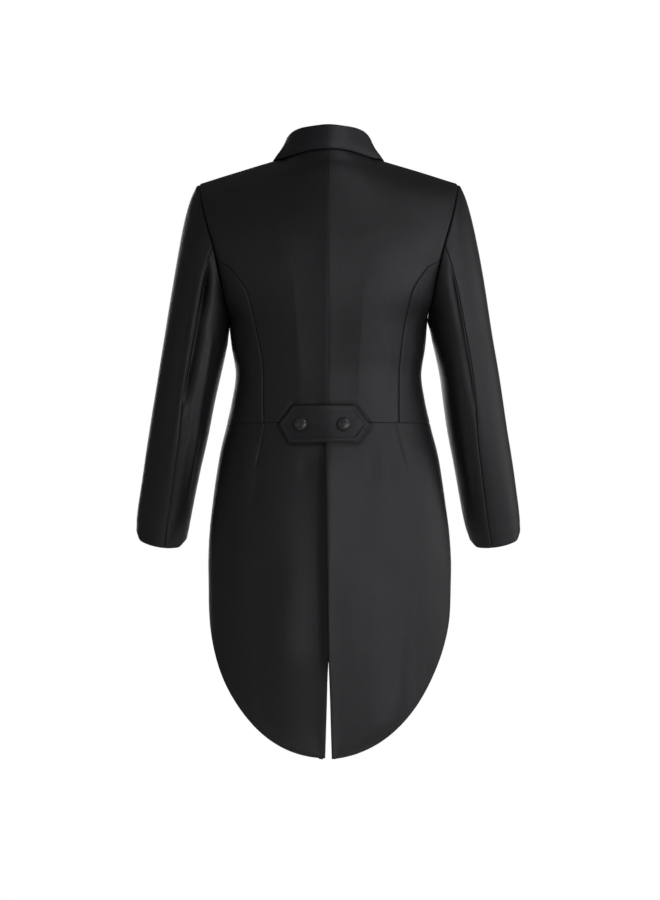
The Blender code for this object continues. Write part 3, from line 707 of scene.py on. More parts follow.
# ---------------------------------------------------------------- materials
def new_material(name):
    mat = bpy.data.materials.new(name)
    mat.use_nodes = True
    nodes, links = mat.node_tree.nodes, mat.node_tree.links
    nodes.clear()
    out = nodes.new("ShaderNodeOutputMaterial")
    shader = nodes.new("ShaderNodeBsdfPrincipled")
    links.new(shader.outputs["BSDF"], out.inputs["Surface"])
    return mat, nodes, links, shader


def math_node(nodes, links, op, a, b=None, c=None):
    node = nodes.new("ShaderNodeMath")
    node.operation = op
    for i, value in enumerate((a, b, c)):
        if value is None:
            continue
        if hasattr(value, "is_linked"):
            links.new(value, node.inputs[i])
        else:
            node.inputs[i].default_value = value
    return node.outputs[0]


def woven(name, colour, light, rough, spec, sheen, twill=1.15, ridge=0.00019, grain=1.0):
    """Fine twill: diagonal ribs, slubs and a little unevenness in the dye."""
    mat, nodes, links, shader = new_material(name)
    coord = nodes.new("ShaderNodeUVMap")
    coord.uv_map = "UVMap"
    turn = nodes.new("ShaderNodeMapping")
    turn.inputs["Rotation"].default_value = (0.0, 0.0, math.radians(52.0))
    links.new(coord.outputs["UV"], turn.inputs["Vector"])
    rib = nodes.new("ShaderNodeTexWave")
    rib.wave_type = "BANDS"
    rib.bands_direction = "X"
    rib.inputs["Scale"].default_value = 0.314 / (twill * MM)
    rib.inputs["Distortion"].default_value = 1.1
    rib.inputs["Detail"].default_value = 2.0
    rib.inputs["Detail Scale"].default_value = 0.6
    links.new(turn.outputs["Vector"], rib.inputs["Vector"])

    def noise(scale, detail, stretch=None):
        tex = nodes.new("ShaderNodeTexNoise")
        tex.inputs["Scale"].default_value = scale
        tex.inputs["Detail"].default_value = detail
        tex.inputs["Roughness"].default_value = 0.6
        source = coord.outputs["UV"]
        if stretch:
            bend = nodes.new("ShaderNodeMapping")
            bend.inputs["Rotation"].default_value = (0.0, 0.0, math.radians(52.0))
            bend.inputs["Scale"].default_value = stretch
            links.new(source, bend.inputs["Vector"])
            source = bend.outputs["Vector"]
        links.new(source, tex.inputs["Vector"])
        return tex.outputs["Fac"]

    yarn = noise(420.0, 2.0, (1.0, 0.35, 1.0))
    fleck = noise(900.0, 1.0)
    cloud = noise(14.0, 3.0)

    tone = math_node(nodes, links, "MULTIPLY_ADD", yarn, grain, 0.5 - 0.5 * grain)
    tone = math_node(nodes, links, "MULTIPLY_ADD", rib.outputs["Fac"], 0.10, tone)
    tone = math_node(nodes, links, "MULTIPLY_ADD", cloud, 0.16, tone)
    tone = math_node(nodes, links, "SUBTRACT", tone, 0.13)
    ramp = nodes.new("ShaderNodeMix")
    ramp.data_type = "RGBA"
    ramp.clamp_factor = True
    ramp.inputs["A"].default_value = (*colour, 1.0)
    ramp.inputs["B"].default_value = (*light, 1.0)
    links.new(tone, ramp.inputs["Factor"])
    links.new(ramp.outputs["Result"], shader.inputs["Base Color"])

    shine = math_node(nodes, links, "MULTIPLY_ADD", yarn, 0.30, rough - 0.15)
    shine = math_node(nodes, links, "MULTIPLY_ADD", cloud, 0.06, math_node(nodes, links, "SUBTRACT", shine, 0.03))
    links.new(shine, shader.inputs["Roughness"])

    height = math_node(nodes, links, "MULTIPLY_ADD", rib.outputs["Fac"], 0.6, math_node(nodes, links, "MULTIPLY", fleck, 0.5))
    height = math_node(nodes, links, "MULTIPLY_ADD", yarn, 0.9, height)
    bump = nodes.new("ShaderNodeBump")
    bump.inputs["Strength"].default_value = 0.8
    bump.inputs["Distance"].default_value = ridge
    links.new(height, bump.inputs["Height"])
    links.new(bump.outputs["Normal"], shader.inputs["Normal"])

    shader.inputs["Specular IOR Level"].default_value = spec
    shader.inputs["Specular Tint"].default_value = (0.97, 0.955, 1.0, 1.0)
    shader.inputs["Sheen Weight"].default_value = sheen
    shader.inputs["Sheen Roughness"].default_value = 0.45
    shader.inputs["Sheen Tint"].default_value = (0.86, 0.87, 1.0, 1.0)
    return mat


def covered(name):
    """Satin stretched over a button form."""
    mat, nodes, links, shader = new_material(name)
    coord = nodes.new("ShaderNodeTexCoord")
    tex = nodes.new("ShaderNodeTexNoise")
    tex.inputs["Scale"].default_value = 1500.0
    tex.inputs["Detail"].default_value = 2.0
    links.new(coord.outputs["Object"], tex.inputs["Vector"])
    mix = nodes.new("ShaderNodeMix")
    mix.data_type = "RGBA"
    mix.inputs["A"].default_value = (0.020, 0.019, 0.022, 1.0)
    mix.inputs["B"].default_value = (0.085, 0.082, 0.092, 1.0)
    links.new(tex.outputs["Fac"], mix.inputs["Factor"])
    links.new(mix.outputs["Result"], shader.inputs["Base Color"])
    rough = math_node(nodes, links, "MULTIPLY_ADD", tex.outputs["Fac"], 0.16, 0.19)
    links.new(rough, shader.inputs["Roughness"])
    bump = nodes.new("ShaderNodeBump")
    bump.inputs["Strength"].default_value = 0.5
    bump.inputs["Distance"].default_value = 0.00006
    links.new(tex.outputs["Fac"], bump.inputs["Height"])
    links.new(bump.outputs["Normal"], shader.inputs["Normal"])
    shader.inputs["Specular IOR Level"].default_value = 0.85
    return mat


CLOTH = woven("fine_twill", (0.0020, 0.0018, 0.0026), (0.0150, 0.0144, 0.0180), 0.50, 0.90, 0.01)
BELTING = woven("belt_twill", (0.0020, 0.0018, 0.0026), (0.0150, 0.0144, 0.0180), 0.48, 0.90, 0.01)
SATIN = woven("collar_satin", (0.009, 0.0086, 0.0118), (0.018, 0.0172, 0.0230), 0.52, 0.80, 0.01,
              twill=0.7, ridge=0.00005, grain=0.25)
GLOSS = covered("covered_button_satin")


# ------------------------------------------------------------------ the body
def mirrored(grid):
    return grid * np.array([-1.0, 1.0, 1.0])


def body_core(grid):
    core = np.zeros_like(grid)
    core[..., 2] = grid[..., 2] - 40.0 * (grid[..., 2] > ARMPIT)
    return core


def belt_shade(x, z, y):
    """The cloth gives a little along the outline of the half-belt."""
    (z0, l0, r0), (z1, l1, r1), (z2, l2, r2) = BELT
    loop = [(l0, z0), (l1, z1), (l2, z2), (r2, z2), (r1, z1), (r0, z0), (l0, z0)]
    near = np.full(x.shape, 1e9)
    for (ax, az), (bx, bz) in zip(loop, loop[1:]):
        t = np.clip(((x - ax) * (bx - ax) + (z - az) * (bz - az)) / ((bx - ax) ** 2 + (bz - az) ** 2), 0.0, 1.0)
        near = np.minimum(near, np.hypot(x - ax - t * (bx - ax), z - az - t * (bz - az)))
    return -2.0 * np.exp(-((near / 3.0) ** 2)) * (y > 0)


def back_relief(grid, phase):
    x, y, z = grid[..., 0], grid[..., 1], grid[..., 2]
    facing = smooth((y + 5.0) / 30.0)
    d = roof(x, z) + drift(x, y, z, 0.55, phase)
    for row in BACK_FOLDS:
        d = d + fold(x, z, *row) * facing
    # cloth draws in under the shoulder blades and eases over the waist
    near_armhole = np.exp(-(((np.abs(x) - 168.0) / 16.0) ** 2)) * np.exp(-(((z + 215.0) / 42.0) ** 2))
    return d - 1.4 * near_armhole * facing + belt_shade(x, z, y)


def front_relief(grid, phase):
    x, y, z = grid[..., 0], grid[..., 1], grid[..., 2]
    facing = smooth((-y + 5.0) / 30.0)
    d = drift(x, y, z, 0.55, phase)
    for row in FRONT_FOLDS:
        d = d + fold(x, z, *row) * facing
    return d


def seam_length(rows, column):
    """Where the side-back seam starts under the armhole, the side body opens
    from a tip; gives its distance from the armhole in every row."""
    top, low = -148.0, -166.0
    dense = np.linspace(0.0, 90.0, 181)[None, :]
    run = runs(body(np.array([[low]]), dense), 1)[0]
    wide = run[-1] - np.interp(float(angle_on_curve(np.array([low]), SIDE_BACK_SEAM, column=column)[0]), dense[0], run)
    return np.where(rows > low, SIDE_TIP + (wide - SIDE_TIP) * np.clip((top - rows) / (top - low), 0.0, 1.0), -1.0)


def turned_in(grid):
    """Seam allowance turned into the sleeve at the back of the armhole."""
    z = grid[:, -1, 2]
    return 9.0 * smooth((-z - 95.0) / 25.0) * smooth((z + 240.0) / 30.0)


def build_body():
    half = SEAM / 2.0
    seam_top = -148.0
    top = np.concatenate([[19.6, 19.2, 18.6, 17.6, 16.0], np.arange(13.0, -147.0, -STEP)])
    low = levels(seam_top - 0.01, WAIST_SEAM + half, STEP, False, True)
    rows = np.concatenate([top, low])
    opened = rows < seam_top
    backs, sides = [], []
    for column in (1, 2):
        tip = seam_length(rows, column)
        seam_deg = angle_on_curve(rows, SIDE_BACK_SEAM, column=column)

        def back_end(run, first, last):
            by_angle = np.array([np.interp(a, np.linspace(0, 90, run.shape[1]), r) for a, r in zip(seam_deg, run)])
            from_tip = run[:, -1] - SEAM - tip
            end = np.where(tip > 0, from_tip, by_angle)
            return first, np.where(opened, end - half, last)

        deg = spread(body, rows, 0.0, 90.0, 44, half, SEAM, seam=back_end)
        backs.append(cloth(rows[:, None], deg))

        side_rows = rows[opened]
        side_tip, side_deg = tip[opened], seam_deg[opened]

        def side_start(run, first, last):
            by_angle = np.array([np.interp(a, np.linspace(0, 90, run.shape[1]), r) for a, r in zip(side_deg, run)])
            from_tip = run[:, -1] - SEAM - side_tip
            start = np.where(side_tip > 0, from_tip, by_angle)
            end = run[:, -1] - np.where(side_rows >= ARMPIT, SEAM, half)
            return start + half * (side_tip < 0) + 0.05, end

        deg = spread(body, side_rows, 0.0, 90.0, 26, seam=side_start)
        sides.append(cloth(side_rows[:, None], deg))

    front_rows = np.concatenate([
        [19.6, 19.2, 18.6, 17.6, 16.0], np.arange(13.0, -430.0, -STEP),
        WAIST_SEAM + half + NEAR[::-1],
    ])
    edge = angle_on_curve(front_rows, FRONT_EDGE, front=True)
    bend = np.where(front_rows < -300.0, np.minimum(139.5, edge - 8.0), 0.0)
    # the bend of the columns moves over smoothly above the waist
    plain = 90.0 + (edge - 90.0) * 0.6
    bend = np.where(bend > 0, plain + (bend - plain) * smooth((-front_rows - 300.0) / 40.0), plain)
    gap = np.where(front_rows >= ARMPIT, SEAM, half)
    a = spread(body, front_rows, 90.001, bend, 26, gap, 0.0, fine=(True, False))
    b = spread(body, front_rows, bend, edge, 20, 0.0, 0.0, fine=(False, True))
    deg = np.concatenate([a, b[:, 1:]], axis=1)
    fall = np.clip((-front_rows - 340.0) / 99.0, 0.0, 1.0) ** 2
    part = np.clip((deg - 139.5) / (edge[:, None] - 139.5), 0.0, 1.0)
    front = cloth(front_rows[:, None] - FRONT_POINT * part * fall[:, None], deg)

    for side_name, flip, phase in (("left", False, 0.4), ("right", True, 2.1)):
        g = mirrored(backs[1]) if flip else backs[0]
        obj = shell(f"back_{side_name}_cloth", g, body_core(g), back_relief(g, phase),
                    ("none", "seam", "pressed", "deep"), tuck=turned_in(g))
        cloth_piece(obj, f"back_{side_name}", g, CLOTH)

        g = mirrored(sides[1]) if flip else sides[0]
        obj = shell(f"side_back_{side_name}_cloth", g, body_core(g), back_relief(g, phase),
                    ("none", "seam", "seam", "deep"), tuck=turned_in(g))
        cloth_piece(obj, f"side_back_{side_name}", g, CLOTH)

        g = mirrored(front) if flip else front
        obj = shell(f"front_{side_name}_cloth", g, body_core(g), front_relief(g, phase + 0.9),
                    ("none", "free", "seam", "free"))
        cloth_piece(obj, f"front_{side_name}", g, CLOTH)


def denser(deg, middle, half=4.5, more=26):
    """Columns drawn together about one angle in every row."""
    part = np.linspace(0.0, 1.0, deg.shape[1] + more)
    plain = np.linspace(0.0, 1.0, deg.shape[1])
    out = np.empty((len(deg), len(part)))
    for j, row in enumerate(deg):
        # weight of every place: higher beside the angle asked for
        fine = np.linspace(row[0], row[-1], 600)
        base = np.interp(fine, row, plain)
        pull = 0.5 * more / deg.shape[1] * (1.0 + np.tanh((fine - middle[j]) / half))
        place = base + pull
        place = (place - place[0]) / (place[-1] - place[0])
        out[j] = np.interp(part, place, fine)
    out[:, 0], out[:, -1] = deg[:, 0], deg[:, -1]
    return out


def tail_grid(right):
    half = SEAM / 2.0
    turn = np.radians(87.5) * (1.0 - (1.0 - np.linspace(0.0, 1.0, 76)[1:]) ** 1.25)
    rows = np.concatenate([levels(WAIST_SEAM - half, HEM_TOP, STEP, True, False),
                           HEM_TOP - HEM_DEPTH * np.sin(turn)])
    start = -spline(VENT, 1, rows) if right else spline(VENT, 2, rows)
    first = np.copysign(angle_at(rows, np.abs(start)), start)
    t = np.arcsin(np.clip((HEM_TOP - rows) / HEM_DEPTH, 0.0, 1.0))
    hem_x = HEM_HALF * np.cos(t) ** HEM_FULL[int(right)]
    # the front edge runs into the hem in a soft bend
    edge = spline(TAIL_EDGE, 1, rows)
    low = rows < HEM_TOP
    corner = np.interp(HEM_TOP - 3.0, rows[::-1], angle_at(rows, hem_x)[::-1])
    turned = np.exp(-((rows - HEM_TOP) / 70.0) ** 2) * (corner - np.interp(HEM_TOP, rows[::-1], edge[::-1]))
    last = np.where(low, angle_at(rows, hem_x), edge + turned)
    deg = spread(body, rows, first, last, 74)
    # more columns where the dart is sewn
    middle = angle_at(rows, np.full(rows.shape, 119.0 if right else 113.0))
    deg = denser(deg, middle)
    grid = body(rows[:, None], deg)
    near = 1.0 / (1.0 + (np.maximum(grid[..., 0], 0.0) / 42.0) ** 4)
    lap = LAP if right else -LAP
    n = grid_normals(grid, body_core(grid))
    grid = grid + n * (lap * near)[..., None]
    return mirrored(grid) if right else grid


def tail_relief(grid, phase, right):
    x, y, z = grid[..., 0], grid[..., 1], grid[..., 2]
    facing = smooth((y + 5.0) / 30.0)
    d = roof(x, z) + drift(x, y, z, 0.7, phase) * smooth((-z - 440.0) / 60.0)
    for row in TAIL_FOLDS:
        d = d + fold(x, z, *row) * facing
    for row in DARTS:
        d = d + sewn_line(x, z, *row, 1.25, 1.2) * facing
        # the cloth let out below the point of the dart
        x1, z1 = row[2], row[3]
        d = d + 0.7 * np.exp(-(((x - x1) / 14.0) ** 2)) * np.exp(-(((z - z1 + 8.0) / 32.0) ** 2)) * facing
    d = d + belt_shade(x, z, y)
    # side flutes where the skirt hangs free
    side = smooth((np.abs(x) - 120.0) / 60.0) * smooth((-z - 520.0) / 120.0)
    d = d + side * 1.6 * np.sin(y / 15.0 + z / 210.0 + phase)
    # the vent: the over tail's edge stands off and shades the under tail
    down = smooth((-z - 448.0) / 70.0) * (1.0 - 0.35 * smooth((-z - 780.0) / 150.0))
    over = spline(VENT, 1, z)          # the over tail's edge on its own side
    if right:
        off = np.maximum(x + over, -60.0) * -1.0
        off = np.maximum(off, 0.0)
        d = d + 8.0 * down * np.exp(-off / 34.0)
        roll = smooth((-z - 815.0) / 120.0)
        d = d - 3.0 * roll * np.exp(-((off / 4.4) ** 2))
    else:
        off = np.maximum(x, 0.0)
        d = d - 1.2 * down * np.exp(-((off / 62.0) ** 2))
        # a hollow beside the over tail's edge
        gap = x - over
        reach = 8.0 + 6.0 * smooth((-z - 470.0) / 200.0)
        wide = np.where(gap > reach, 62.0, 0.58 * reach)
        d = d - 6.4 * down * np.exp(-(((gap - reach) / wide) ** 2)) * smooth((-z - 455.0) / 50.0) * (1.0 - smooth((-z - 800.0) / 60.0))
    return d


def edge_distance(points, line):
    """Distance of every point to a line of points."""
    p = points.reshape(-1, 1, 3)
    a, b = line[None, :-1], line[None, 1:]
    ab = b - a
    t = np.clip(np.sum((p - a) * ab, -1) / np.maximum(np.sum(ab * ab, -1), 1e-9), 0.0, 1.0)
    d = np.linalg.norm(p - (a + ab * t[..., None]), axis=-1).min(axis=1)
    return d.reshape(points.shape[:2])


def build_tails():
    for side_name, right, phase in (("left", False, 1.2), ("right", True, 3.0)):
        g = tail_grid(right)
        hem = edge_distance(g, np.concatenate([g[:, -1], g[-1, ::-1]])[::2])
        # the hem is turned up: a faint ridge over its top edge
        extra = (-0.7 * np.exp(-((hem / 0.8) ** 2)) + 0.22 * smooth((30.0 - hem) / 3.0))
        obj = shell(f"tail_{side_name}_cloth", g, body_core(g), tail_relief(g, phase, right),
                    ("fine", "none", "free", "none"), extra=extra)
        cloth_piece(obj, f"tail_{side_name}", g, CLOTH)


# --------------------------------------------------------------- the sleeves
def sleeve_grid(piece, right):
    half = SEAM / 2.0
    near = NEAR / 600.0
    parts = np.concatenate([near, np.linspace(near[-1], 1.0 - near[-1], 172)[1:-1], 1.0 - near[::-1]])
    back, front = spline(SLEEVE_SEAMS, 1, parts), spline(SLEEVE_SEAMS, 2, parts)
    lo, hi = (front - 360.0, back) if piece == "top" else (back, front)
    deg = spread(lambda r, d: sleeve(d, r, right), parts, lo, hi, 46, half, half)
    grid = sleeve(deg, parts[:, None], right)
    lift = (SEAM * 0.6 + 0.7 * np.maximum(np.cos(np.radians(deg)), 0.0)) * np.clip(1.0 - parts[:, None] / 0.02, 0.0, 1.0)
    toward = unit(sleeve(deg, np.maximum(parts[:, None], 0.0) + 0.02, right) - grid)
    grid = grid + toward * lift[..., None]
    return grid, deg, parts


def cuff_corners(grid, deg, parts):
    """The cuff's two corners are rounded off, as the sleeve lies in the view."""
    turn = np.where(deg < -90.0, deg + 360.0, deg)
    back = np.abs(np.cos(np.radians(turn)))
    lift = 7.5 * smooth((back - 0.74) / 0.26) ** 1.4
    run = parts[:, None] * 600.0
    part = smooth((run - 560.0) / 40.0) * (run / 600.0)
    up = unit(grid[:1] - grid[-1:])
    return grid + up * (lift * part)[..., None]


def build_sleeves():
    for side_name, right, phase in (("left", False, 0.7), ("right", True, 2.6)):
        for piece in ("top", "under"):
            g, deg, parts = sleeve_grid(piece, right)
            g = cuff_corners(g, deg, parts)
            centre = np.mean(g, axis=1, keepdims=True)
            other, _, _ = sleeve_grid("under" if piece == "top" else "top", right)
            core = np.broadcast_to(0.5 * (centre + np.mean(other, axis=1, keepdims=True)), g.shape)
            # folds are placed round the arm in degrees of one turn
            turn = np.where(deg < -90.0, deg + 360.0, deg)
            across, run = turn * DEG_MM, np.broadcast_to(parts[:, None] * 600.0, deg.shape)
            d = 0.6 * np.sin(run / 41.0 + turn / 37.0 + phase) * np.sin(run / 73.0 - turn / 29.0)
            d = d * smooth(run / 60.0)
            for x0, y0, x1, y1, bow, width, lean, depth in SLEEVE_FOLDS[side_name]:
                d = d + fold(across, run, x0 * DEG_MM, y0, x1 * DEG_MM, y1, bow, width, lean, depth)
            # the head of the sleeve rolls over its seam at the shoulder
            crown = np.maximum(np.cos(np.radians(deg)), 0.0)
            d = d + 0.7 * crown * np.exp(-(((run - 12.0) / 9.0) ** 2))
            if right:
                g, core = mirrored(g), mirrored(core)
            # the cuff is turned up inside
            cuff = 0.3 * smooth((run - 566.0) / 4.0)
            obj = shell(f"{piece}_sleeve_{side_name}_cloth", g, core, d,
                        ("head", "free", "seam", "seam"), extra=cuff)
            cloth_piece(obj, f"{piece}_sleeve_{side_name}", g, CLOTH)


# -------------------------------------------------------- collar and lapels
def collar_section(station, stand=9, arc=13, leaf_count=15):
    side, leaf_z, leaf_x, neck_z, neck_x, rise, lean, swell = station
    front = side == "front"
    neck, neck_n = (v.reshape(3) for v in on_body([neck_z], [neck_x], [0.0], front))
    leaf = on_body([leaf_z], [leaf_x], [3.4], front)[0].reshape(3)
    out = leaf - neck
    out[2] = 0.0
    out = unit(out) if np.linalg.norm(out) > 1e-6 else np.array([0.0, 1.0, 0.0])
    up = np.array([0.0, 0.0, 1.0])
    r = 2.7
    top = neck + up * rise + out * lean
    if front and rise < 20.0:
        top = top + neck_n * (1.5 + 0.1 * (20.0 - rise))
    centre = top - up * r
    base = neck + up * 1.2 if rise > 20.0 else neck + neck_n * 2.2 - out * 0.6
    stand_top = centre - out * r
    points = [base + (stand_top - base) * k for k in np.linspace(0.0, 1.0, stand)[:-1]]
    for a in np.radians(np.linspace(180.0, 0.0, arc)):
        points.append(centre + out * (r * math.cos(a)) + up * (r * math.sin(a)))
    start = points[-1]
    control = (start + leaf) / 2.0 + (out * 0.7 + up * 0.7) * swell
    for k in np.linspace(0.0, 1.0, leaf_count)[1:]:
        points.append((1 - k) ** 2 * start + 2 * k * (1 - k) * control + k**2 * leaf)
    return np.array(points)


def build_collar():
    sections = np.array([collar_section(s) for s in COLLAR])
    first = sections[1] * np.array([-1.0, 1.0, 1.0])
    keyed = np.concatenate([first[None], sections])
    keys = np.arange(-1, len(sections))
    at = np.linspace(0.0, len(sections) - 1.0, 97)
    half = np.empty((len(at), sections.shape[1], 3))
    for c in range(sections.shape[1]):
        for j in range(3):
            table = [(float(k), float(v)) for k, v in zip(keys, keyed[:, c, j])]
            half[:, c, j] = spline(table, 1, at)
    grid = np.concatenate([half[:0:-1] * np.array([-1.0, 1.0, 1.0]), half])
    core = np.mean(grid, axis=1, keepdims=True) - np.array([0.0, 0.0, 14.0])
    x, y, z = grid[..., 0], grid[..., 1], grid[..., 2]
    # a slight break over the centre of the leaf, and soft waves along it
    back = smooth((y - 20.0) / 40.0)
    part = np.linspace(0.0, 1.0, grid.shape[1])[None, :]
    leaf = smooth((part - 0.6) / 0.2)
    d = 0.9 * back * leaf * np.exp(-np.sqrt(x * x + 9.0) / 22.0)
    d = d + 0.35 * leaf * np.sin(x / 13.0 + 0.8) * np.sin(x / 29.0)
    d = d - 1.5 * smooth((part - 0.86) / 0.14)
    obj = shell("collar_satin", grid, core, d, ("free", "free", "none", "free"), wall=2.2, outside=1.1)
    cloth_piece(obj, "collar", grid, SATIN)


def build_lapels():
    v = levels(0.0, -1.0, 0.010, False, False) * -1.0
    v = np.concatenate([NEAR / 330.0, np.linspace(NEAR[-1] / 330.0, 1.0 - NEAR[-1] / 330.0, 110)[1:-1],
                        1.0 - NEAR[::-1] / 330.0])
    u = np.concatenate([NEAR / 90.0, np.linspace(NEAR[-1] / 90.0, 1.0 - NEAR[-1] / 90.0, 32)[1:-1],
                        1.0 - NEAR[::-1] / 90.0])
    for side_name, flip in (("left", False), ("right", True)):
        uu, vv = np.meshgrid(u, v)
        z = LAPEL_BREAK + (straight(LAPEL_TOP, 1, uu) - LAPEL_BREAK) * vv
        x = spline(FRONT_EDGE, 1, z) + 0.4 + uu * spline(LAPEL, 1, vv)
        g, _ = on_body(z, x, 3.1 + 0.8 * np.sin(np.pi * uu), front=True)
        # the roll at the fold edge stands fuller as it nears the break
        belly = 1.6 * np.exp(-((uu / 0.16) ** 2)) * smooth((1.0 - vv) / 0.5) * smooth(vv / 0.08)
        d = belly + 0.5 * np.sin(vv * 9.0 + 0.6) * np.sin(uu * 5.0)
        if flip:
            g = mirrored(g)
        obj = shell(f"lapel_{side_name}_satin", g, body_core(g), d, ("free", "free", "free", "free"))
        cloth_piece(obj, f"lapel_{side_name}", g, SATIN)


# -------------------------------------------------------- belt and buttons
def build_belt():
    lo, hi = BELT[0][0], BELT[-1][0]
    rows = np.sort(np.concatenate([lo + NEAR, np.linspace(lo + NEAR[-1], hi - NEAR[-1], 22)[1:-1],
                                   hi - NEAR[::-1], [BELT[1][0]]]))
    left, right = straight(BELT, 1, rows), straight(BELT, 2, rows)
    at = stations(np.zeros(len(rows)), left - right, 58)
    x = left[:, None] - at
    z = np.broadcast_to(rows[:, None], x.shape)
    g, n = on_body(z, x, np.full(x.shape, BELT_LIFT + BELT_WALL))
    g = g + n * roof(x, z, 10.0)[..., None]
    outline = np.concatenate([g[:, 0], g[-1], g[::-1, -1], g[0, ::-1]])
    edge = edge_distance(g, outline)
    # a turned edge: pressed down at the rim, a low ridge over the turning
    extra = -1.9 * np.exp(-((edge / 1.8) ** 2)) + 0.75 * np.exp(-(((edge - 4.4) / 2.3) ** 2))
    extra = extra - 0.25 * smooth((edge - 6.0) / 3.0)
    for bx in BELT_BUTTONS.values():
        r = np.hypot(x - bx, z - BELT_BUTTON_Z)
        extra = extra - 0.9 * np.exp(-((r / 12.5) ** 2))
    d = 0.35 * np.sin(x / 15.0 + 0.5) * np.sin(z / 17.0)
    d = d + fold(x, z, -44.0, -411.0, -58.0, -430.0, 2.0, 4.5, 1.4, -0.7)
    d = d + fold(x, z, 60.0, -412.0, 73.0, -432.0, -2.0, 4.5, 1.4, -0.5)
    core = np.zeros_like(g)
    core[..., 2] = g[..., 2]
    obj = shell("half_belt_cloth", g, core, d, ("none",) * 4, wall=BELT_WALL, extra=extra)
    cloth_piece(obj, "half_belt", g, BELTING)
    for name, bx in BELT_BUTTONS.items():
        place, n = on_body([BELT_BUTTON_Z], [bx], [BELT_LIFT + BELT_WALL - 0.2 + float(roof(np.array(bx), np.array(BELT_BUTTON_Z), 10.0))])
        covered_button(name, place[0], n[0], BUTTON_DIA + 0.8)


BUTTON_PROFILE = [
    # part of the radius, part of the height
    (0.00, 1.000), (0.16, 0.994), (0.32, 0.976), (0.48, 0.945), (0.62, 0.898),
    (0.74, 0.830), (0.84, 0.735), (0.915, 0.610), (0.965, 0.465), (0.993, 0.320),
    (1.000, 0.230), (0.985, 0.165), (0.940, 0.115), (0.860, 0.085), (0.700, 0.060),
    (0.420, 0.045), (0.300, 0.000), (0.290, -0.080), (0.000, -0.080),
]


def covered_button(name, centre, normal, across):
    r, h, steps = across / 2.0, across * 0.30, 56
    verts, faces, rings = [], [], []
    side = unit(np.cross([0.0, 0.0, 1.0], normal))
    up = np.cross(normal, side)
    for pr, ph in BUTTON_PROFILE:
        if pr == 0.0:
            rings.append([len(verts)])
            verts.append(centre + normal * (ph * h))
            continue
        ring = []
        for k in range(steps):
            a = 2.0 * math.pi * k / steps
            # the cover is gathered round the back of the form
            pleat = 1.0 + 0.012 * math.cos(14.0 * a) * smooth(np.array((0.30 - ph) / 0.25)) * (ph > 0.05)
            ring.append(len(verts))
            verts.append(centre + (side * math.cos(a) + up * math.sin(a)) * (r * pr * pleat) + normal * (ph * h))
        rings.append(ring)
    for a, b in zip(rings, rings[1:]):
        for k in range(steps):
            m = (k + 1) % steps
            if len(a) == 1:
                faces.append((a[0], b[k], b[m]))
            elif len(b) == 1:
                faces.append((a[k], b[0], a[m]))
            else:
                faces.append((a[k], b[k], b[m], a[m]))
    mesh = bpy.data.meshes.new(name + "_cover")
    mesh.from_pydata([tuple(float(c) * MM for c in v) for v in verts], [], faces)
    mesh.shade_smooth()
    obj = bpy.data.objects.new(name + "_cover", mesh)
    bpy.context.scene.collection.objects.link(obj)
    mesh.materials.append(GLOSS)
    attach(obj, "root")
    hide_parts(name)


def build_front_buttons():
    for k, (z, x) in enumerate(FRONT_BUTTONS, 1):
        for side_name, sign in (("left", 1.0), ("right", -1.0)):
            place, n = on_body([z], [sign * x], [0.6], front=True)
            covered_button(f"front_button_{side_name}_{k}", place[0], n[0], FRONT_BUTTON_DIA)


build_body()
build_tails()
build_sleeves()
build_collar()
build_lapels()
build_belt()
build_front_buttons()


# ---------------------------------------------------------- camera and light
camera_data = bpy.data.cameras.new("camera")
camera_data.lens = 96.0
camera_data.sensor_width = 36.0
camera = bpy.data.objects.new("camera", camera_data)
camera.location = (-0.0025, 4.0, -0.4833)
camera.rotation_euler = (math.radians(90.0), 0.0, math.radians(180.0))
bpy.context.scene.collection.objects.link(camera)
bpy.context.scene.camera = camera
bpy.context.scene.view_settings.view_transform = "Standard"

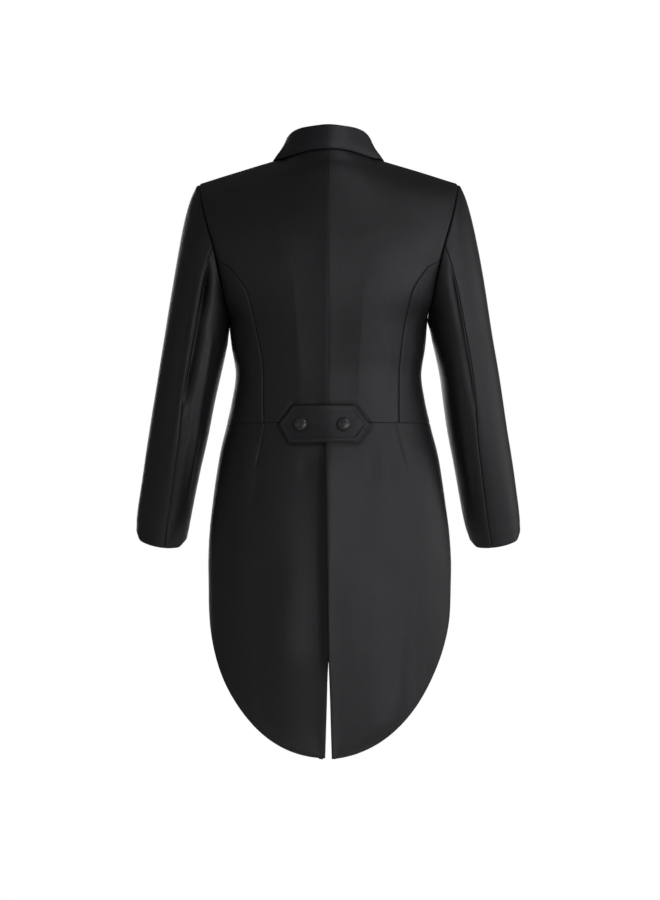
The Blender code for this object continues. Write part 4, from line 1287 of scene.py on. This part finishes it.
world = bpy.data.worlds.new("studio")
bpy.context.scene.world = world
world.use_nodes = True
wn, wl = world.node_tree.nodes, world.node_tree.links
wn.clear()
w_out = wn.new("ShaderNodeOutputWorld")
w_mix = wn.new("ShaderNodeMixShader")
w_path = wn.new("ShaderNodeLightPath")
w_fill = wn.new("ShaderNodeBackground")
w_seen = wn.new("ShaderNodeBackground")
w_fill.inputs["Color"].default_value = (1.0, 1.0, 1.0, 1.0)
w_fill.inputs["Strength"].default_value = 0.080
w_seen.inputs["Color"].default_value = (1.0, 1.0, 1.0, 1.0)
w_seen.inputs["Strength"].default_value = 1.0
wl.new(w_path.outputs["Is Camera Ray"], w_mix.inputs["Fac"])
wl.new(w_fill.outputs["Background"], w_mix.inputs[1])
wl.new(w_seen.outputs["Background"], w_mix.inputs[2])
wl.new(w_mix.outputs["Shader"], w_out.inputs["Surface"])

LIGHTS = [
    # name, azimuth off the camera to the image right, height, distance, width, tall, watts
    ("key", 25.0, -0.1, 3.0, 1.8, 1.8, 11.0),
    ("key_right", 45.0, 0.1, 3.0, 1.6, 1.6, 6.4),
    ("side_right", 76.0, 0.2, 3.0, 1.2, 1.8, 5.2),
    ("rim_right", 108.0, 0.1, 3.0, 0.8, 2.0, 7.5),
    ("high_right", 50.0, 2.0, 2.2, 1.6, 1.0, 7.2),
    ("fill_left", -35.0, 0.4, 3.0, 1.6, 1.6, 1.5),
    ("side_left", -68.0, 0.1, 3.0, 1.4, 1.6, 0.7),
    ("front_key", 194.0, 0.5, 3.0, 1.8, 1.8, 34.0),
    ("front_fill", 170.0, 0.2, 3.2, 1.6, 1.6, 13.0),
]
for name, azimuth, height, distance, width, tall, watts in LIGHTS:
    data = bpy.data.lights.new(name, "AREA")
    data.shape = "RECTANGLE"
    data.size, data.size_y = width, tall
    data.energy = watts
    lamp = bpy.data.objects.new(name, data)
    a = math.radians(azimuth)
    lamp.location = (-math.sin(a) * distance, math.cos(a) * distance, -0.48 + height)
    aim = Vector((0.0, 0.0, -0.48)) - lamp.location
    lamp.rotation_euler = aim.to_track_quat("-Z", "Y").to_euler()
    lamp.visible_camera = False
    bpy.context.scene.collection.objects.link(lamp)


def build_floor():
    steps, radius, level = 96, 1.15, -1.46
    verts = [(0.0, 0.0, level)]
    verts += [(radius * math.cos(2 * math.pi * k / steps), radius * math.sin(2 * math.pi * k / steps), level)
              for k in range(steps)]
    faces = [(0, k + 1, (k + 1) % steps + 1) for k in range(steps)]
    mesh = bpy.data.meshes.new("floor")
    mesh.from_pydata(verts, [], faces)
    floor = bpy.data.objects.new("floor", mesh)
    bpy.context.scene.collection.objects.link(floor)
    mat, nodes, links, shader = new_material("pale_floor")
    shader.inputs["Base Color"].default_value = (0.80, 0.80, 0.79, 1.0)
    shader.inputs["Roughness"].default_value = 0.85
    mesh.materials.append(mat)


build_floor()
